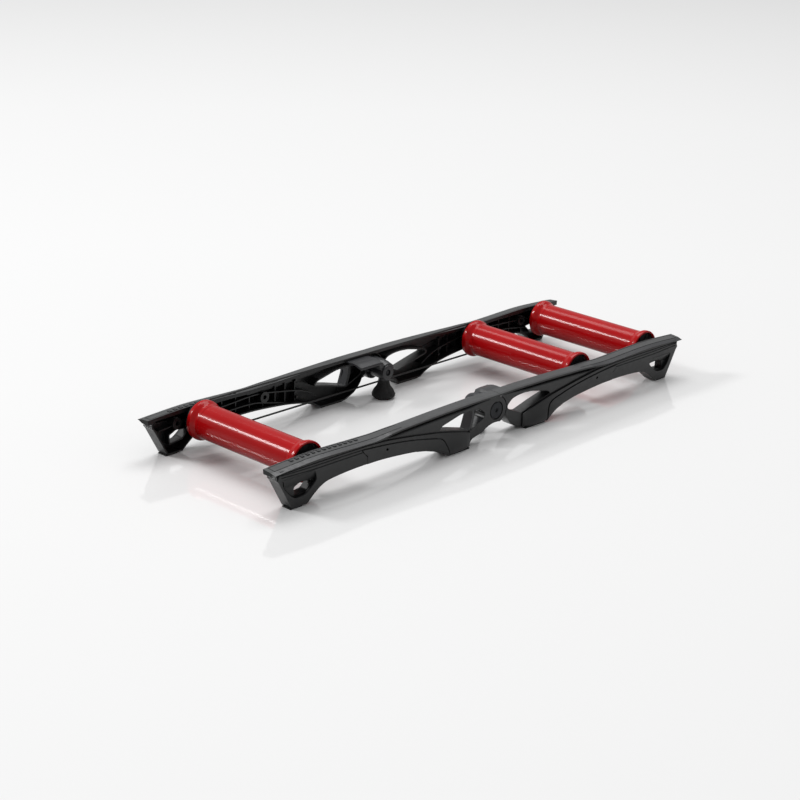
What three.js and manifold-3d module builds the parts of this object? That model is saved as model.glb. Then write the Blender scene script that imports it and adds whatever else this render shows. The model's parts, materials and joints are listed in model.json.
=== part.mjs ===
// Folding bike rollers: two side rails made of four half mouldings that hinge in the middle,
// three drums on fixed axles, and a round belt from the front drum to the middle drum.
//
// Frame: millimetres, +Z up, the floor at z = 0. +X runs from the front drum to the rear pair,
// +Y is the side of the belt. x = 0 is the hinge. A half rail and what belongs to it are drawn
// with x as the distance from the hinge and y as the distance from the middle of the track,
// and are then mirrored to their own corner.

import * as THREE from 'three';
import { mergeVertices } from 'three/addons/utils/BufferGeometryUtils.js';
import Module from 'manifold-3d';

const wasm = await Module();
wasm.setup();

// Driving dimensions

const fit_gap = 0.3; // between two pieces that touch
const running_gap = 0.6; // between two pieces that turn past each other
const overrun = 1; // how far a cutting tool reaches past what it cuts

const rail = {
  half_length: 689, // hinge to the end of a half rail
  height: 104, // floor to the top of the flange at the hinge
  inner: 187, // inner side of the rail, from the middle of the track
  width: 29, // inner side to the face of the upper arm
  face_step: 3.5, // the lower arm stands this much proud of the upper arm
  flange_step: 7.7, // and the flange this much
  foot_flare: 11, // the middle foot bulges out past the face of the lower arm
  floor_gap: 3, // the mouldings stand on rubber pads
  wall: 3.5,
  rib: 2.5,
  rib_setback: 5, // the ribs end this far inside the inner side
  flange_thick: 7.5,
  flange_start: 8, // the flanges of the two halves meet this far past the hinge
  chamfer: 1.3,
  panel_rise: 1.2,
  window_lip: 4,
  window_slot: 5, // undercut behind the lip of the window
  window_depth: 16,
  throat_depth: 9,
  foot_recess: 8,
  dimple_radius: 3.8,
  dimple_depth: 6,
};

const hinge = {
  drop: 38, // axis below the top of the flange
  outer_radius: 33, // the knuckle that lies outside
  inner_radius: 27,
  inner_width: 19,
  hub_margin: 9, // solid ring round the inner knuckle
  pin_radius: 5,
  bush_wall: 2,
  bush_collar: 1,
  bush_collar_radius: 12,
  head_radius: 16,
  head_thick: 3.2,
  head_chamfer: 1,
  socket_radius: 5,
  socket_depth: 2.2,
  nut_radius: 7.5,
  nut_thick: 6,
};
hinge.height = rail.height - hinge.drop;

const drum = {
  rise: 4.7, // axle above the hinge axis
  radius: 40,
  wall: 3,
  side_gap: 16, // outer face of the rim to the rail
  collar_length: 31, // end of the tube to the outer face of the rim
  rim_radius: 46.4,
  collar_step: 0.6, // the collar stands this much proud of the tube
  collar_straight: 6,
  flare_length: 17,
  rim_round: 1.4,
  rim_wall: 4.9,
  spigot_length: 15,
  cap_recess: 2.8,
  cap_thick: 4.6,
  hub_wall: 4,
  hub_length: 5,
};
drum.height = hinge.height + drum.rise;
drum.half_length = rail.inner - drum.side_gap;
drum.tube_half = drum.half_length - drum.collar_length;

const axle_setback = { front: 141, rear: 83 }; // from the ends of the rails
const rear_pair_spacing = 259;
const drum_places = { // along x
  front: axle_setback.front - rail.half_length,
  middle: rail.half_length - axle_setback.rear - rear_pair_spacing,
  rear: rail.half_length - axle_setback.rear,
};

const axle = {
  radius: 5,
  reach: 19, // its ends go this far into the rails
  seat_radius: 13,
  nut_radius: 9.2,
  nut_thick: 4.5,
  collar_wall: 2.5, // the nut has a collar that holds the bearing
};
axle.half_length = rail.inner + axle.reach;

const bearing = { radius: 11, width: 7, lip: 2.2 };

const belt = { radius: 2.2, turn_radius: 40, rim_offset: 4, lip: 1.4, lip_rise: 2.4 };
belt.plane = drum.half_length + belt.rim_offset;

const bracket = {
  barrel_radius: 18.5,
  barrel_length: 54.7,
  ring_inset: 4.5,
  ring_depth: 2,
  nut_depth: 9,
  base_margin: 4.2, // round the circle of screws
  base_thick: 5,
  step_drop: 3, // below the top of the flange
  step_thick: 5,
  step_width: 50.7,
  step_start: 6,
  step_left: 54,
  step_right: 88,
  skirt_thick: 4,
  foot_top_radius: 13,
  foot_wide_radius: 26,
  foot_wide_height: 11,
  foot_bottom_radius: 24,
  screw_radius: 2,
  screw_head_radius: 3.2,
  screw_head_thick: 2.2,
  screw_length: 14,
};
bracket.ring_radius = bracket.barrel_radius - bracket.ring_inset;
bracket.screw_circle = bracket.barrel_radius + bracket.screw_head_radius + running_gap;
bracket.base_radius = bracket.screw_circle + bracket.base_margin;

const pad = { thick: 2.7, margin: 3, radius: 22 };

const facets = { turned: 18, small: 10, screw: 6, hex: 6, belt_turn: 12 };

// Side view of a half rail: distance from the hinge and height, as shares of rail.half_length
// and rail.height; the undersides of the feet are at foot_share

const foot_share = 0.0288;

const flange_shares = [
  [0.1, 1.005], [0.24, 0.99], [0.38, 0.962], [0.49, 0.935], [0.56, 0.905],
  [0.64, 0.913], [0.73, 0.932], [0.815, 0.942], [0.9, 0.923], [1, 0.885],
];
const leg_shares = [[0.984, 0.85], [0.968, 0.52], [0.952, 0.28], [0.933, foot_share]];
const underside_shares = [
  [0.872, foot_share], [0.842, 0.175], [0.817, 0.285], [0.787, 0.365], [0.745, 0.4], [0.68, 0.432],
  [0.615, 0.441], [0.55, 0.432], [0.46, 0.385], [0.382, 0.318], [0.321, 0.231], [0.274, 0.125],
  [0.248, foot_share], [0.131, foot_share],
];
const outer_arch_shares = [[0.108, 0.21], [0.083, 0.228], [0.0573, 0.293], [0.035, 0.427]];
const inner_arch_shares = [[0.108, 0.11], [0.094, 0.185], [0.067, 0.26], [0.0415, 0.385]];

const arm_top_shares = [
  [0.981, 0.8], [0.9, 0.835], [0.813, 0.845], [0.68, 0.822], [0.55, 0.8], [0.486, 0.782],
  [0.435, 0.762], [0.357, 0.683], [0.29, 0.591], [0.218, 0.49], [0.152, 0.389], [0.131, 0.34],
];
const flare_shares = [ // top of the station, bottom of the station, share of the full flare
  [0.395, 0.722, 0.382, 0.32, 0], [0.357, 0.679, 0.345, 0.277, 0.08],
  [0.325, 0.636, 0.308, 0.208, 0.25], [0.29, 0.587, 0.276, 0.127, 0.55],
  [0.258, 0.544, 0.247, 0.03, 0.85], [0.218, 0.486, 0.218, 0.03, 1],
  [0.181, 0.429, 0.184, 0.03, 0.92], [0.152, 0.385, 0.156, 0.03, 0.66],
  [0.139, 0.365, 0.14, 0.03, 0.35], [0.132, 0.34, 0.132, 0.03, 0],
];
const section_shares = [ // down the station, out over the step, out over the flare
  [0, 0, 0], [0.05, 1, 0.03], [0.45, 1, 0.48], [0.85, 1, 1], [1, 0.5, 0.8],
];
const window_shares = [
  [0.27, 0.7], [0.232, 0.775], [0.165, 0.83], [0.1, 0.84], [0.07, 0.8],
  [0.058, 0.72], [0.058, 0.61], [0.094, 0.47], [0.131, 0.41], [0.2, 0.52],
];
const window_inner_shares = [
  [0.268, 0.7], [0.232, 0.765], [0.165, 0.82], [0.113, 0.83], [0.094, 0.78],
  [0.0885, 0.69], [0.1, 0.567], [0.132, 0.43], [0.2, 0.54],
];
const throat_shares = [
  [0.48, 0.812], [0.4, 0.8], [0.27, 0.7], [0.2, 0.52], [0.29, 0.62], [0.38, 0.735],
];
const panel_shares = [
  [0.63, 0.79], [0.609, 0.62], [0.55, 0.69], [0.462, 0.655], [0.347, 0.535],
  [0.276, 0.41], [0.245, 0.25], [0.231, 0.1], [0.236, 0], [0.63, 0],
];
const foot_recess_shares = [
  [0.968, 0.7], [0.945, 0.44], [0.92, 0.25], [0.873, 0.275], [0.855, 0.5], [0.828, 0.53],
  [0.82, 0.7],
];
const foot_hole_shares = [[0.918, 0.27], [0.91, 0.425], [0.889, 0.53], [0.869, 0.5], [0.868, 0.3]];
const upper_rib_shares = [
  [0.95, 0.6], [0.8, 0.69], [0.66, 0.74], [0.547, 0.779], [0.504, 0.76], [0.435, 0.692],
  [0.344, 0.577], [0.297, 0.471], [0.26, 0.33],
];
const lower_rib_shares = [[0.84, 0.44], [0.7, 0.57], [0.547, 0.587], [0.48, 0.5], [0.39, 0.36]];
const cross_rib_shares = [0.355, 0.445, 0.68];
const dimple_share = [0.519, 0.625];
const end_pad_shares = [0.878, 0.926];
const mid_pad_shares = [0.14, 0.24];

// Planes across the track that follow from the sizes above

const planes = {
  inner: rail.inner,
  arm: rail.inner + rail.width,
  face: rail.inner + rail.width + rail.face_step,
  flange: rail.inner + rail.width + rail.flange_step,
  flare: rail.inner + rail.width + rail.face_step + rail.foot_flare,
  split: rail.inner + hinge.inner_width,
  outer_knuckle: rail.inner + hinge.inner_width + 2 * fit_gap + hinge.bush_collar,
  seat: rail.inner - fit_gap, // where brackets and axle nuts meet the inner side of a rail
};
planes.barrel = planes.seat - bracket.barrel_length;
planes.step = planes.seat - bracket.step_width;
planes.foot = belt.plane - belt.radius - running_gap - bracket.foot_wide_radius;

// Finishes

const finishes = {
  nylon: { color: 0x2b2c2e, roughness: 0.5, metalness: 0 },
  dark_nylon: { color: 0x161618, roughness: 0.55, metalness: 0 },
  red: { color: 0xb5121a, roughness: 0.16, metalness: 0 },
  rubber: { color: 0x111111, roughness: 0.9, metalness: 0 },
  steel: { color: 0xa9acb0, roughness: 0.35, metalness: 1 },
  black_steel: { color: 0x232427, roughness: 0.4, metalness: 0.8 },
  bronze: { color: 0x9a7a4a, roughness: 0.45, metalness: 1 },
};

// A geometry becomes a solid for joins and cuts

function solid(geometry) {
  const bare = geometry.clone();
  bare.deleteAttribute('normal');
  bare.deleteAttribute('uv');
  const merged = mergeVertices(bare, fit_gap / 1000);
  return new wasm.Manifold(new wasm.Mesh({
    numProp: 3,
    vertProperties: new Float32Array(merged.attributes.position.array),
    triVerts: new Uint32Array(merged.index.array),
  }));
}

function join(...shapes) {
  return shapes.reduce((sum, shape) => sum.add(shape));
}

function cut(shape, ...tools) {
  return tools.reduce((rest, tool) => rest.subtract(tool), shape);
}

// Outlines in the side view are lists of [distance, height]

function place(shares) {
  const rise = (rail.height - rail.floor_gap) / (1 - foot_share);
  return shares.map(([along, up]) => [
    along * rail.half_length, rail.floor_gap + (up - foot_share) * rise,
  ]);
}

function points(outline) {
  return outline.map(([x, z]) => new THREE.Vector2(x, z));
}

function grow(outline, distance) {
  const turn = Math.sign(THREE.ShapeUtils.area(points(outline)));
  return outline.map((point, i) => {
    const before = outline[(i + outline.length - 1) % outline.length];
    const after = outline[(i + 1) % outline.length];
    const a = new THREE.Vector2(point[0] - before[0], point[1] - before[1]).normalize();
    const b = new THREE.Vector2(after[0] - point[0], after[1] - point[1]).normalize();
    const normal = new THREE.Vector2(a.y + b.y, -a.x - b.x);
    const reach = (2 * turn * distance) / Math.max(normal.lengthSq(), 1);
    return [point[0] + normal.x * reach, point[1] + normal.y * reach];
  });
}

function ribbon(path, width) {
  const side = (sign) => path.map((point, i) => {
    const before = path[Math.max(i - 1, 0)];
    const after = path[Math.min(i + 1, path.length - 1)];
    const along = new THREE.Vector2(after[0] - before[0], after[1] - before[1]).normalize();
    return [point[0] - (sign * along.y * width) / 2, point[1] + (sign * along.x * width) / 2];
  });
  return [...side(1), ...side(-1).reverse()];
}

function band(path, above, below) {
  const raised = path.map(([x, z]) => [x, z + above]);
  const lowered = path.map(([x, z]) => [x, z - below]);
  return [...raised, ...lowered.reverse()];
}

function box(x0, x1, z0, z1) {
  return [[x0, z0], [x1, z0], [x1, z1], [x0, z1]];
}

// A plate is an outline in the side view between two planes across the track

function plate(outline, from, to, chamfer = 0, hole = null) {
  const shape = new THREE.Shape(points(outline));
  if (hole) {
    shape.holes.push(new THREE.Path(points(hole)));
  }
  const geometry = new THREE.ExtrudeGeometry(shape, {
    depth: to - from - 2 * chamfer,
    bevelEnabled: chamfer > 0,
    bevelThickness: chamfer,
    bevelSize: chamfer,
    bevelOffset: -chamfer,
    bevelSegments: 1,
  });
  geometry.rotateX(Math.PI / 2);
  geometry.translate(0, to - chamfer, 0);
  return solid(geometry);
}

// A turned piece lies across the track; its profile is a closed list of [radius, y]

function turned(profile, x, z, segments) {
  const ring = points(profile);
  const ordered = THREE.ShapeUtils.area(ring) > 0 ? ring : ring.reverse();
  const geometry = new THREE.LatheGeometry([...ordered, ordered[0]], segments);
  geometry.translate(x, 0, z);
  return solid(geometry);
}

function rod(radius, from, to, x, z, segments) {
  return turned([[0, from], [radius, from], [radius, to], [0, to]], x, z, segments);
}

function sleeve(inside, outside, from, to, x, z, segments) {
  const profile = [[inside, from], [outside, from], [outside, to], [inside, to]];
  return turned(profile, x, z, segments);
}

function hexNut(radius, bore, from, to, x, z) {
  const nut = rod(radius, from, to, x, z, facets.hex);
  return cut(nut, rod(bore, from - overrun, to + overrun, x, z, facets.small));
}

// A skin through rings of points, closed at both ends

function loft(rings) {
  const size = rings[0].length;
  const positions = rings.flat(2);
  const faces = [];
  for (let i = 0; i + 1 < rings.length; i += 1) {
    for (let j = 0; j < size; j += 1) {
      const a = i * size + j;
      const b = i * size + ((j + 1) % size);
      faces.push(a, b, b + size, a, b + size, a + size);
    }
  }
  const last = (rings.length - 1) * size;
  for (let j = 1; j + 1 < size; j += 1) {
    faces.push(0, j + 1, j, last, last + j, last + j + 1);
  }
  const geometry = new THREE.BufferGeometry();
  geometry.setAttribute('position', new THREE.Float32BufferAttribute(positions, 3));
  geometry.setIndex(faces);
  const shape = solid(geometry);
  if (shape.volume() > 0) {
    return shape;
  }
  geometry.setIndex(faces.reverse());
  return solid(geometry);
}

// The flared foot of the lower arm, moved out or in by a small amount

function flare(offset) {
  const back = planes.arm - rail.wall;
  return loft(flare_shares.map(([topAlong, topUp, bottomAlong, bottomUp, share]) => {
    const [[x0, z0], [x1, z1]] = place([[topAlong, topUp], [bottomAlong, bottomUp]]);
    const front = section_shares.map(([down, step, out]) => [
      x0 + (x1 - x0) * down,
      planes.arm + rail.face_step * step + rail.foot_flare * out * share + offset,
      z0 + (z1 - z0) * down,
    ]);
    return [...front, [x1, back, z1], [x0, back, z0]];
  }));
}

// A half rail: a channel moulding, open on its inner side, with its flange, ribs and feet

function halfRail(knuckleOutside) {
  const pivot = [0, hinge.height];
  const start = knuckleOutside ? -rail.flange_start : rail.flange_start + running_gap;
  const flangeTop = [[start, rail.height], ...place(flange_shares)];
  const flangeMiddle = flangeTop.map(([x, z]) => [x, z - rail.flange_thick / 2]);
  const arch = knuckleOutside ? outer_arch_shares : inner_arch_shares;
  const legAndUnderside = place([...leg_shares, ...underside_shares]);
  const neck = [start, rail.height - rail.flange_thick - running_gap];
  const outline = [
    ...flangeMiddle.slice(0, -1), ...legAndUnderside, ...place(arch), pivot, neck,
  ];
  const lowerArm = [...legAndUnderside.slice(1), ...place(arm_top_shares).reverse()];
  const [dimpleX, dimpleZ] = place([dimple_share])[0];
  const pocket = planes.arm - rail.window_depth;
  const seats = Object.values(drum_places).map(Math.abs);

  const flange = plate(
    band(flangeTop, 0, rail.flange_thick), planes.inner, planes.flange, rail.chamfer,
  );
  const skin = join(
    plate(outline, planes.inner, planes.arm),
    plate(lowerArm, planes.arm - rail.wall, planes.face, rail.chamfer),
    flare(0),
    flange,
  );
  const panel = plate(place(panel_shares), planes.arm, planes.flare + rail.foot_flare)
    .intersect(join(
      plate(lowerArm, planes.arm - rail.wall, planes.face + rail.panel_rise, rail.chamfer),
      flare(rail.panel_rise),
    ));

  const kept = [
    plate(grow(place(window_inner_shares), rail.wall), planes.inner, planes.arm),
    plate(
      grow(place(window_shares), rail.window_slot + rail.wall), pocket - rail.wall, planes.arm,
    ),
    plate(grow(place(throat_shares), rail.wall), planes.arm - rail.throat_depth - rail.wall,
      planes.arm),
    plate(grow(place(foot_recess_shares), rail.wall), planes.face - rail.foot_recess - rail.wall,
      planes.face),
    plate(grow(place(foot_hole_shares), rail.wall), planes.inner + rail.rib_setback, planes.face),
    plate(ribbon(place(upper_rib_shares), rail.rib), planes.inner + rail.rib_setback, planes.face),
    plate(ribbon(place(lower_rib_shares), rail.rib), planes.inner + rail.rib_setback, planes.face),
    ...cross_rib_shares.map((share) => {
      const x = share * rail.half_length;
      return plate(box(x - rail.rib / 2, x + rail.rib / 2, 0, rail.height),
        planes.inner + 2 * rail.rib_setback, planes.face);
    }),
    ...seats.map((x) => rod(axle.seat_radius, planes.inner, planes.face, x, drum.height,
      facets.turned)),
    rod(hinge.inner_radius + hinge.hub_margin, planes.inner, planes.split, ...pivot, facets.turned),
    rod(rail.dimple_radius + rail.wall, planes.arm - rail.dimple_depth, planes.face,
      dimpleX, dimpleZ, facets.small),
  ];
  const cavity = cut(
    join(
      plate(grow(outline, -rail.wall), planes.inner - overrun, planes.arm - rail.wall),
      plate(grow(lowerArm, -rail.wall), planes.inner - overrun, planes.face - rail.wall),
    ),
    ...kept,
  );

  const cuts = [
    cavity,
    plate(place(window_inner_shares), planes.inner - overrun, planes.flange),
    plate(grow(place(window_shares), rail.window_slot), pocket, planes.arm - rail.window_lip),
    plate(place(window_shares), pocket, planes.arm + overrun),
    plate(place(throat_shares), planes.arm - rail.throat_depth, planes.arm + overrun),
    plate(place(foot_recess_shares), planes.face - rail.foot_recess, planes.flare),
    plate(place(foot_hole_shares), planes.inner - overrun, planes.flare),
    rod(rail.dimple_radius, planes.face - rail.dimple_depth, planes.flare, dimpleX, dimpleZ,
      facets.small),
    ...seats.map((x) => rod(axle.radius + fit_gap, planes.inner - overrun,
      axle.half_length + fit_gap + overrun, x, drum.height, facets.small)),
  ];

  const reliefs = knuckleOutside
    ? [rod(hinge.inner_radius + running_gap, planes.inner - overrun, planes.outer_knuckle,
      ...pivot, facets.turned)]
    : [rod(hinge.outer_radius + running_gap, planes.split, planes.flange + overrun,
      ...pivot, facets.turned)];
  const knuckle = knuckleOutside
    ? rod(hinge.outer_radius, planes.outer_knuckle, planes.arm, ...pivot, facets.turned)
    : rod(hinge.inner_radius, planes.inner, planes.split, ...pivot, facets.turned);
  const boreRadius = knuckleOutside
    ? hinge.pin_radius + 2 * fit_gap + hinge.bush_wall
    : hinge.pin_radius + fit_gap;
  const bore = rod(boreRadius, planes.inner - overrun, planes.arm + overrun, ...pivot,
    facets.turned);
  const screwHoles = knuckleOutside ? [] : screwPlaces().map(([x, z]) => rod(
    bracket.screw_radius + fit_gap, planes.inner - overrun,
    planes.seat + bracket.screw_length + overrun, x, z, facets.screw,
  ));

  const shell = cut(join(skin, panel), ...cuts, ...reliefs);
  return cut(join(shell, knuckle), bore, ...screwHoles);
}

// The hinge bracket: a barrel on the hinge axis, a bell-shaped centre foot and a step plate

function screwPlaces() {
  return [0, 1, 2].map((i) => {
    const angle = Math.PI / 2 + (i * 2 * Math.PI) / 3;
    return [
      bracket.screw_circle * Math.cos(angle),
      hinge.height + bracket.screw_circle * Math.sin(angle),
    ];
  });
}

function hingeBracket(stepReach) {
  const pivot = [0, hinge.height];
  const baseInner = planes.seat - bracket.base_thick;
  const footProfile = [
    [0, rail.floor_gap], [bracket.foot_bottom_radius, rail.floor_gap],
    [bracket.foot_wide_radius, bracket.foot_wide_height],
    [(bracket.foot_wide_radius + bracket.foot_top_radius) / 2,
      (bracket.foot_wide_height + hinge.height - bracket.barrel_radius) / 2],
    [bracket.foot_top_radius, hinge.height - bracket.barrel_radius],
    [bracket.foot_top_radius, hinge.height], [0, hinge.height],
  ];
  const foot = new THREE.LatheGeometry(points(footProfile), facets.turned);
  foot.rotateX(Math.PI / 2);
  foot.translate(0, planes.foot, 0);
  const stepTop = rail.height - bracket.step_drop;
  const stepBottom = stepTop - bracket.step_thick;
  const crown = hinge.height + bracket.barrel_radius;
  const arch = [
    [bracket.step_start, stepBottom], [bracket.step_start, crown - bracket.skirt_thick],
    [bracket.barrel_radius, hinge.height], [bracket.barrel_radius + bracket.skirt_thick,
      hinge.height + bracket.skirt_thick],
    [stepReach / 2, crown - bracket.skirt_thick], [stepReach - bracket.skirt_thick, stepBottom],
  ];
  const body = join(
    turned([
      [0, planes.barrel], [bracket.barrel_radius - rail.chamfer, planes.barrel],
      [bracket.barrel_radius, planes.barrel + rail.chamfer],
      [bracket.barrel_radius, baseInner], [bracket.base_radius, baseInner],
      [bracket.base_radius, planes.seat], [0, planes.seat],
    ], ...pivot, facets.turned),
    solid(foot),
    plate(box(bracket.step_start, stepReach, stepBottom, stepTop),
      planes.step, planes.seat, rail.chamfer),
    plate(arch, planes.step, planes.step + bracket.skirt_thick),
    plate(arch, baseInner - bracket.skirt_thick, baseInner),
  );
  const nutSeat = planes.barrel + bracket.nut_depth;
  return cut(
    body,
    rod(hinge.pin_radius + fit_gap, planes.barrel - overrun, planes.seat + overrun,
      ...pivot, facets.small),
    rod(hinge.nut_radius + fit_gap, planes.barrel - overrun, nutSeat, ...pivot, facets.turned),
    sleeve(bracket.ring_radius, bracket.ring_radius + bracket.ring_depth,
      planes.barrel - overrun, planes.barrel + bracket.ring_depth, ...pivot,
      facets.turned),
    ...screwPlaces().map(([x, z]) => rod(bracket.screw_radius + fit_gap, baseInner - overrun,
      planes.seat + overrun, x, z, facets.screw)),
  );
}

// Hinge hardware, drawn round the hinge axis

function hingePin() {
  const head = planes.arm + fit_gap;
  const top = head + hinge.head_thick;
  const tip = planes.barrel + bracket.ring_depth;
  const profile = [
    [0, tip], [hinge.pin_radius, tip], [hinge.pin_radius, head], [hinge.head_radius, head],
    [hinge.head_radius, top - hinge.head_chamfer], [hinge.head_radius - hinge.head_chamfer, top],
    [0, top],
  ];
  return cut(
    turned(profile, 0, hinge.height, facets.turned),
    rod(hinge.socket_radius, top - hinge.socket_depth, top + overrun, 0, hinge.height, facets.hex),
  );
}

function hingeBush() {
  const inside = hinge.pin_radius + fit_gap;
  const from = planes.split + fit_gap;
  const profile = [
    [inside, from], [hinge.bush_collar_radius, from],
    [hinge.bush_collar_radius, from + hinge.bush_collar],
    [inside + hinge.bush_wall, from + hinge.bush_collar],
    [inside + hinge.bush_wall, planes.arm], [inside, planes.arm],
  ];
  return turned(profile, 0, hinge.height, facets.turned);
}

function hingeNut() {
  const seat = planes.barrel + bracket.nut_depth - fit_gap;
  return hexNut(hinge.nut_radius, hinge.pin_radius + fit_gap, seat - hinge.nut_thick, seat,
    0, hinge.height);
}

function bracketScrew(x, z) {
  const seat = planes.seat - bracket.base_thick - fit_gap;
  const tip = planes.seat + bracket.screw_length;
  return turned([
    [0, seat - bracket.screw_head_thick],
    [bracket.screw_head_radius, seat - bracket.screw_head_thick],
    [bracket.screw_head_radius, seat], [bracket.screw_radius, seat],
    [bracket.screw_radius, tip], [0, tip],
  ], x, z, facets.screw);
}

// Rubber pads under the feet

function railPad(shares, outer) {
  const [from, to] = shares.map((share) => share * rail.half_length);
  return plate(box(from, to, 0, pad.thick), planes.inner + pad.margin, outer - pad.margin);
}

function centrePad() {
  const disc = new THREE.CylinderGeometry(pad.radius, pad.radius, pad.thick, facets.turned);
  disc.rotateX(Math.PI / 2);
  disc.translate(0, planes.foot, pad.thick / 2);
  return solid(disc);
}

// A drum: tube, collars with their flared rims, end caps and bearings, drawn for one x place

const cap = {
  inner: drum.half_length - drum.cap_recess - drum.cap_thick,
  outer: drum.half_length - drum.cap_recess,
  radius: drum.rim_radius - drum.rim_wall - fit_gap,
};
cap.hub = cap.inner - drum.hub_length;
cap.seat = cap.outer - bearing.width;

function drumTube(x) {
  return sleeve(drum.radius - drum.wall, drum.radius, -drum.tube_half, drum.tube_half,
    x, drum.height, facets.turned);
}

function drumCollar(x) {
  const spigot = drum.radius - drum.wall - fit_gap;
  const body = drum.radius + drum.collar_step;
  const start = drum.tube_half + fit_gap;
  const flareStart = start + drum.collar_straight;
  const flareEnd = flareStart + drum.flare_length;
  const swell = (share) => [
    body + (drum.rim_radius - body) * share ** 2, flareStart + drum.flare_length * share,
  ];
  const bore = drum.rim_radius - drum.rim_wall;
  return turned([
    [spigot - drum.wall, drum.tube_half - drum.spigot_length],
    [spigot, drum.tube_half - drum.spigot_length], [spigot, start], [body, start],
    [body, flareStart], swell(1 / 2), [drum.rim_radius, flareEnd],
    [drum.rim_radius, drum.half_length - drum.rim_round],
    [drum.rim_radius - drum.rim_round, drum.half_length], [bore, drum.half_length],
    [bore, cap.inner - fit_gap], [spigot - drum.wall, cap.inner - fit_gap],
  ], x, drum.height, facets.turned);
}

function drumCap(x, withPulley) {
  const hub = bearing.radius + fit_gap;
  const groove = belt.turn_radius - belt.radius - 2 * fit_gap;
  const lipRadius = belt.turn_radius + belt.lip_rise;
  const [near, far] = [-1, 1].map((side) => belt.plane + side * (belt.radius + fit_gap));
  const rim = withPulley
    ? [
      [cap.radius, drum.half_length + 2 * fit_gap], [lipRadius, drum.half_length + 2 * fit_gap],
      [lipRadius, near], [groove, near], [groove, far], [lipRadius, far],
      [lipRadius, far + belt.lip], [groove - drum.wall, far + belt.lip],
      [groove - drum.wall, cap.outer],
    ]
    : [[cap.radius, cap.outer]];
  return turned([
    [hub - bearing.lip, cap.hub], [hub + drum.hub_wall, cap.hub],
    [hub + drum.hub_wall, cap.inner], [cap.radius, cap.inner], ...rim,
    [hub, cap.outer], [hub, cap.seat - fit_gap], [hub - bearing.lip, cap.seat - fit_gap],
  ], x, drum.height, facets.turned);
}

function drumBearing(x) {
  return sleeve(axle.radius + fit_gap, bearing.radius, cap.seat, cap.outer, x, drum.height,
    facets.small);
}

// What stays still on an axle

function axleRod(x) {
  return rod(axle.radius, -axle.half_length, axle.half_length, x, drum.height, facets.small);
}

function axleNut(x) {
  const hexStart = planes.seat - axle.nut_thick;
  const hex = rod(axle.nut_radius, hexStart, planes.seat, x, drum.height, facets.hex);
  const collar = rod(axle.radius + fit_gap + axle.collar_wall, cap.outer + fit_gap, planes.seat,
    x, drum.height, facets.small);
  const bore = rod(axle.radius + fit_gap, cap.outer - overrun, planes.seat + overrun, x,
    drum.height, facets.small);
  return cut(join(hex, collar), bore);
}

// The belt runs round the pulleys of the front and the middle drum

function driveBelt() {
  const loop = (radius) => {
    const turn = (x, startAngle) => {
      const arc = [];
      for (let i = 0; i <= facets.belt_turn; i += 1) {
        const angle = startAngle + (Math.PI * i) / facets.belt_turn;
        arc.push([x + radius * Math.cos(angle), drum.height + radius * Math.sin(angle)]);
      }
      return arc;
    };
    return [
      ...turn(drum_places.middle, -Math.PI / 2), ...turn(drum_places.front, Math.PI / 2),
    ];
  };
  const corner = belt.radius * (2 - Math.SQRT2);
  return plate(loop(belt.turn_radius + belt.radius), belt.plane - belt.radius,
    belt.plane + belt.radius, corner, loop(belt.turn_radius - belt.radius));
}

// Pieces go to their corner of the rollers: end is -1 at the front and side is -1 on the left

function triangles(shape, end, side) {
  const { vertProperties, triVerts } = shape.getMesh();
  const geometry = new THREE.BufferGeometry();
  geometry.setAttribute('position', new THREE.BufferAttribute(vertProperties.slice(), 3));
  geometry.setIndex(new THREE.BufferAttribute(triVerts.slice(), 1));
  geometry.scale(end, side, 1);
  if (end * side < 0) {
    geometry.index.array.reverse();
  }
  return geometry;
}

const rollers = new THREE.Group();

function add(name, finish, shape, end = 1, side = 1) {
  const mesh = new THREE.Mesh(
    triangles(shape, end, side), new THREE.MeshStandardMaterial(finishes[finish]),
  );
  mesh.name = name;
  rollers.add(mesh);
}

const ends = { front: -1, rear: 1 };
const sides = { left: -1, right: 1 };

for (const [endName, end] of Object.entries(ends)) {
  for (const [sideName, side] of Object.entries(sides)) {
    const knuckleOutside = end === side;
    const corner = `${endName}_${sideName}`;
    add(`rail_${corner}`, 'nylon', halfRail(knuckleOutside), end, side);
    add(`end_pad_${corner}`, 'rubber', railPad(end_pad_shares, planes.face), end, side);
    add(`mid_pad_${corner}`, 'rubber', railPad(mid_pad_shares, planes.flare - pad.margin),
      end, side);
  }
}

for (const [sideName, side] of Object.entries(sides)) {
  const reach = side < 0 ? bracket.step_left : bracket.step_right;
  add(`hinge_bracket_${sideName}`, 'nylon', hingeBracket(reach), -side, side);
  screwPlaces().forEach(([x, z], i) => {
    add(`bracket_screw_${sideName}_${i + 1}`, 'black_steel', bracketScrew(x, z), -side, side);
  });
  add(`centre_pad_${sideName}`, 'rubber', centrePad(), -side, side);
  add(`hinge_pin_${sideName}`, 'black_steel', hingePin(), 1, side);
  add(`hinge_bush_${sideName}`, 'bronze', hingeBush(), 1, side);
  add(`hinge_nut_${sideName}`, 'steel', hingeNut(), 1, side);
}

for (const [drumName, x] of Object.entries(drum_places)) {
  add(`${drumName}_drum_tube`, 'red', drumTube(x));
  for (const [sideName, side] of Object.entries(sides)) {
    const withPulley = side > 0 && drumName !== 'rear';
    add(`${drumName}_collar_${sideName}`, 'red', drumCollar(x), 1, side);
    add(`${drumName}_cap_${sideName}`, 'dark_nylon', drumCap(x, withPulley), 1, side);
    add(`${drumName}_bearing_${sideName}`, 'steel', drumBearing(x), 1, side);
    add(`${drumName}_axle_nut_${sideName}`, 'steel', axleNut(x), 1, side);
  }
  add(`${drumName}_axle`, 'steel', axleRod(x));
}

add('drive_belt', 'rubber', driveBelt());

export default rollers;
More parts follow.
